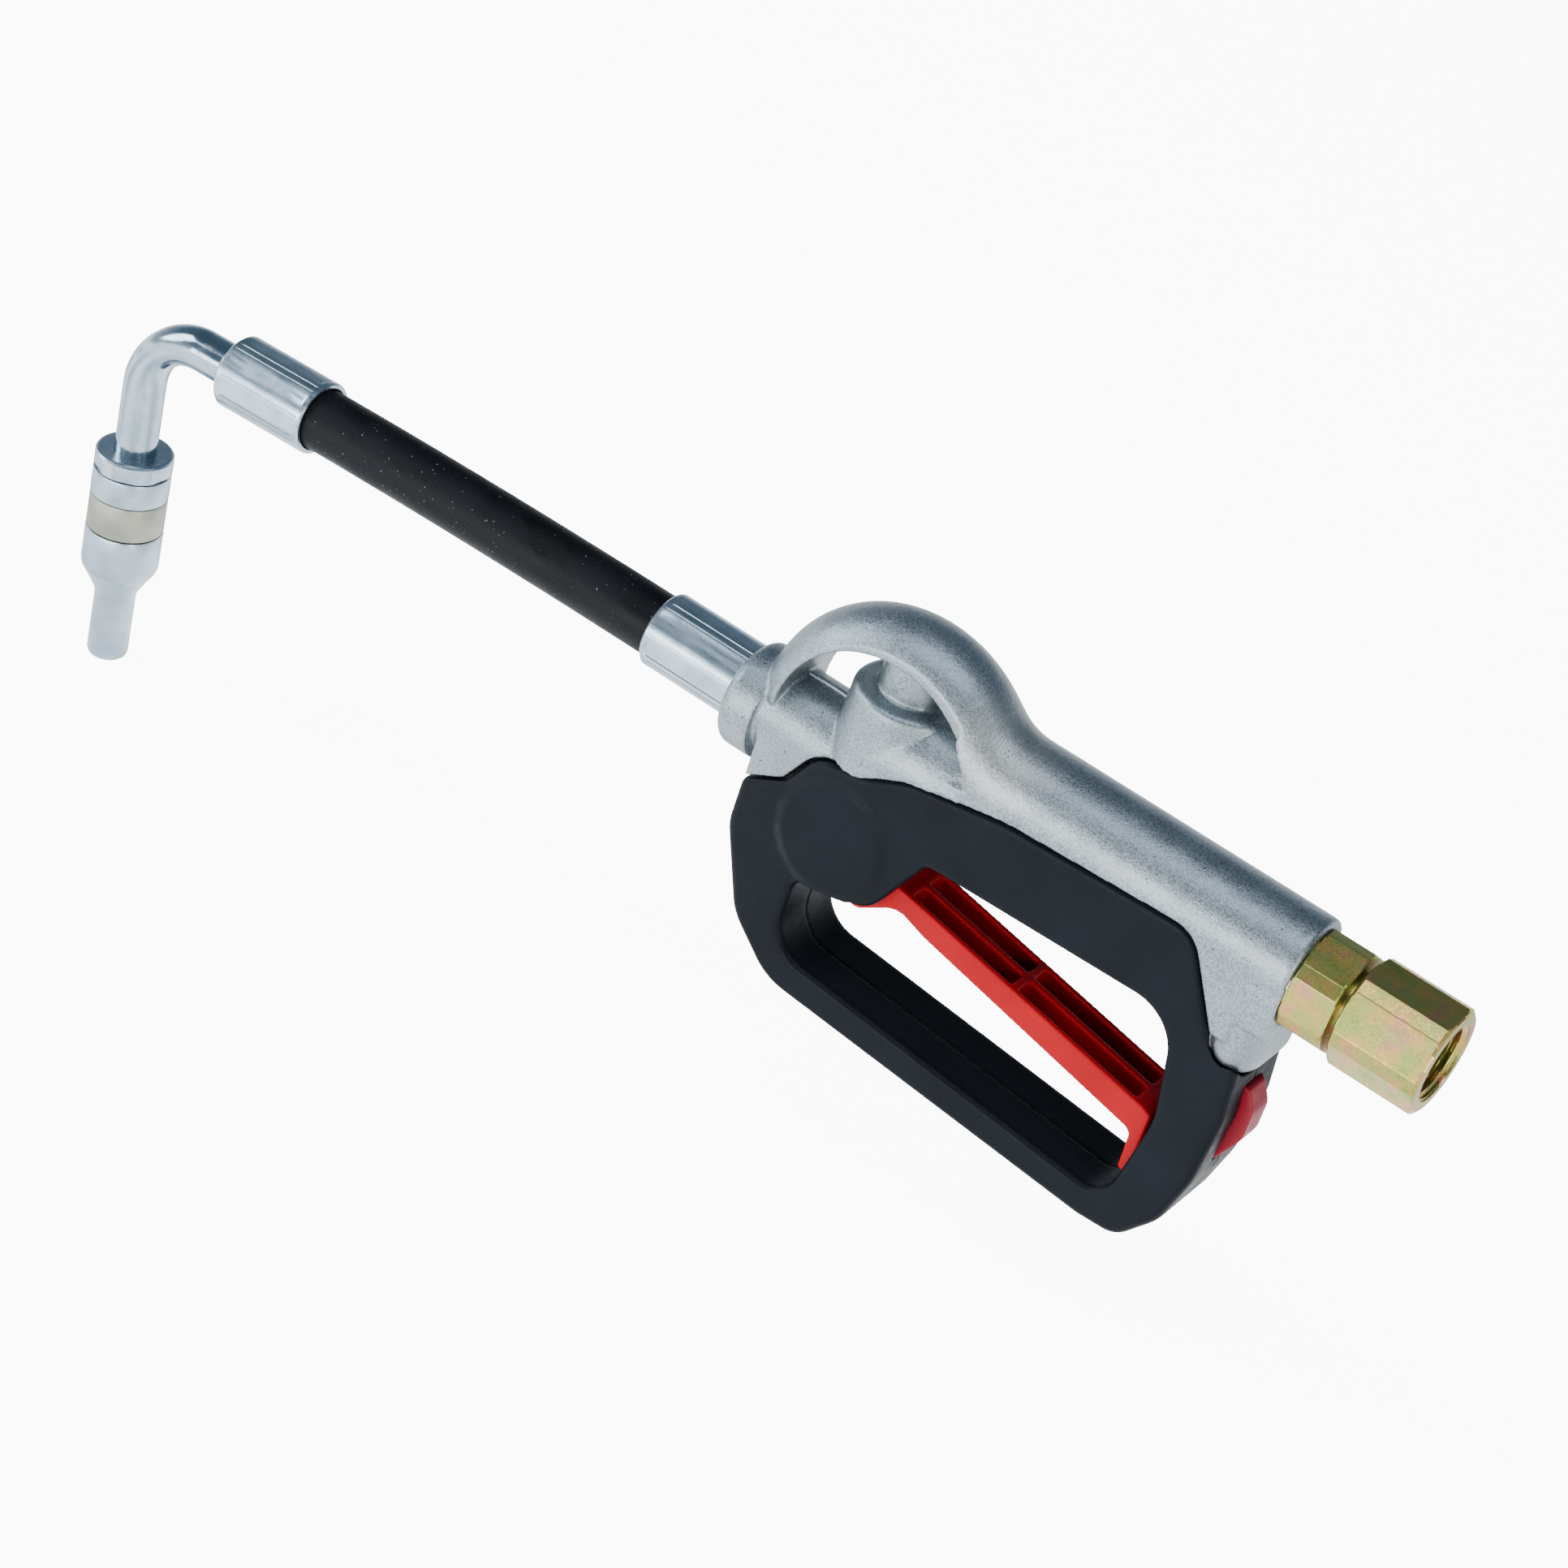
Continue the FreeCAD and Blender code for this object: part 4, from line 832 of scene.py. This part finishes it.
def on_tip(name, node, outline, material, **more):
    """A turned part on the spout's axis, measured down from the collar's top."""
    stand_for(turned(name, outline, TIP_TOP, SPOUT_WAY, material, **more), node)


def make_tip():
    """The collar with its hexagon, the locking ring, the satin band and the turning sleeve."""
    collar = 5.6
    core_end = 30.0
    flat_edge = math.acos(TIP_HEX_FLATS / 2 / TIP_R)
    collar_angles = {round(math.radians(3) * i, 6) for i in range(120)}
    for i in range(6):
        for side in (-1, 1):
            collar_angles.add(round((math.radians(60) * i + side * flat_edge) % (2 * math.pi), 6))
    collar_angles = sorted(collar_angles)

    def hexagon(angle, along, radius):
        if not 1.55 < along < collar + 0.01 or radius < TIP_CORE_R + 1:
            return radius
        from_flat = (angle + math.pi / 6) % (math.pi / 3) - math.pi / 6
        return min(radius, TIP_HEX_FLATS / 2 / math.cos(from_flat))

    on_tip("tip_collar_body", "tip_collar", [
        (0.0, ELBOW_R + 0.02), (0.0, 7.5), (0.0, TIP_R - 0.9), (0.25, TIP_R - 0.35), (0.8, TIP_R),
        (1.5, TIP_R), (1.6, TIP_R), (collar - 0.25, TIP_R), (collar, TIP_R - 0.3), (collar, TIP_CORE_R),
        (core_end, TIP_CORE_R), (core_end, 3.2), (8.05, 3.2), (8.05, ELBOW_R + 0.02),
    ], TIP_ZINC, limit=hexagon, soft=0, angles=collar_angles, sharp=12.0)
    on_tip("tip_locking_ring", "tip_ring", [
        (collar + 0.2, TIP_CORE_R + 0.04), (collar + 0.2, TIP_R - 0.05), (13.6, TIP_R - 0.02),
        (13.6, TIP_CORE_R + 0.04),
    ], TIP_ZINC, soft=0.45)
    on_tip("tip_satin_band", "tip_band", [
        (13.75, TIP_CORE_R + 0.04), (13.75, TIP_R - 0.08), (24.15, TIP_R - 0.08), (24.15, TIP_CORE_R + 0.04),
    ], BAND_ZINC, soft=0.4)
    on_tip("tip_spout_sleeve", "spout_sleeve", [
        (24.4, TIP_CORE_R + 0.08), (24.4, TIP_R - 0.02), (30.0, TIP_R - 0.02), (36.0, TIP_R - 0.02),
        (37.6, TIP_R - 0.5), (39.0, TIP_R - 1.5), (44.4, SPOUT_R + 0.55), (46.2, SPOUT_R),
        (55.0, SPOUT_R), (65.2, SPOUT_R), (66.3, SPOUT_R - 0.45), (66.8, SPOUT_R - 1.2), (66.8, SPOUT_BORE_R),
        (44.0, SPOUT_BORE_R), (40.0, 6.4), (30.3, 6.4), (30.3, TIP_CORE_R + 0.08),
    ], TIP_ZINC, soft=0.8)


make_casting()
make_plastic()
make_nut()
make_adapter()
make_hose()
make_ferrules()
make_elbow()
make_tip()


# ---- floor and light ----
# sizes from here on are in metres
def make_floor():
    """A pale sheet under the part, curved up far behind it."""
    low = cad_box[0][2] - 0.0005
    back, curve_r = 1.6, 0.4
    rows = [(-2.5, 0.0), (back, 0.0)] + [
        (back + curve_r * math.sin(a), curve_r * (1 - math.cos(a))) for a in (0.3, 0.6, 0.9, 1.2)]
    vertices = [(x, y, low + z) for y, z in rows for x in (-3.0, 3.0)]
    faces = [(2 * i, 2 * i + 1, 2 * i + 3, 2 * i + 2) for i in range(len(rows) - 1)]
    mesh = bpy.data.meshes.new("floor")
    mesh.from_pydata(vertices, [], faces)
    for polygon in mesh.polygons:
        polygon.use_smooth = True
    material, tree, shader, place = new_material("pale_paper")
    paper = ramp(tree, noise(tree, place, 300.0), (0.3, "#f6f6f6"), (0.7, "#fafafa"))
    tree.links.new(paper, shader.inputs["Base Color"])
    set_sockets(shader, Roughness=0.9, Specular_IOR_Level=0.1, Emission_Color=linear("#ffffff"))
    # the sheet is white to look at, and dimmer in patches where metal mirrors it, as with studio cards
    ray = add(tree, "LightPath").outputs
    glow = math_node(tree, "ADD", 2.1, math_node(tree, "MULTIPLY", ray["Is Camera Ray"], 8.0))
    cards = spread(tree, noise(tree, place, 130.0, 1.0), 1.7, 0.2, 0.38, 0.62)
    glow = math_node(tree, "SUBTRACT", glow, math_node(tree, "MULTIPLY", ray["Is Glossy Ray"], cards))
    tree.links.new(glow, shader.inputs["Emission Strength"])
    put("floor", mesh, material)


def make_light(name, place, target, width, height, power, colour="#ffffff"):
    """A soft box that faces its target."""
    data = bpy.data.lights.new(name, "AREA")
    data.shape = "RECTANGLE"
    data.size = width
    data.size_y = height
    data.energy = power
    data.color = linear(colour)[:3]
    light = bpy.data.objects.new(name, data)
    bpy.context.scene.collection.objects.link(light)
    aim = Vector(target) - Vector(place)
    light.matrix_world = Matrix.Translation(place) @ aim.to_track_quat("-Z", "Y").to_matrix().to_4x4()


def make_lights():
    """Four soft boxes, in a room that is pale near the floor and dim and cool above."""
    middle = (-0.2, 0.0, -0.03)
    make_light("front_softbox", (-0.45, -1.3, 0.05), middle, 1.5, 0.45, 16.0)
    make_light("left_softbox", (-1.45, -0.5, 0.5), middle, 0.55, 0.8, 12.0, "#eef5ff")
    make_light("top_softbox", (-0.1, -0.4, 1.25), middle, 1.3, 0.3, 9.0, "#eef5ff")
    make_light("right_fill", (1.2, -0.7, 0.25), middle, 0.35, 0.6, 7.0, "#fffaf2")
    world = bpy.data.worlds.new("studio")
    world.use_nodes = True
    tree = world.node_tree
    way = add(tree, "TexCoord").outputs["Generated"]
    height = add(tree, "SeparateXYZ", Vector=way).outputs["Z"]
    height = spread(tree, height, 0.0, 1.0, -0.2, 0.9)
    room = ramp(tree, height, (0.1, "#f2f5f7"), (0.3, "#c9d5de"), (0.55, "#74889a"), (1.0, "#566a7a"))
    tree.links.new(room, tree.nodes["Background"].inputs["Color"])
    tree.nodes["Background"].inputs["Strength"].default_value = 0.9
    bpy.context.scene.world = world


make_floor()
make_lights()

bpy.context.view_layer.update()
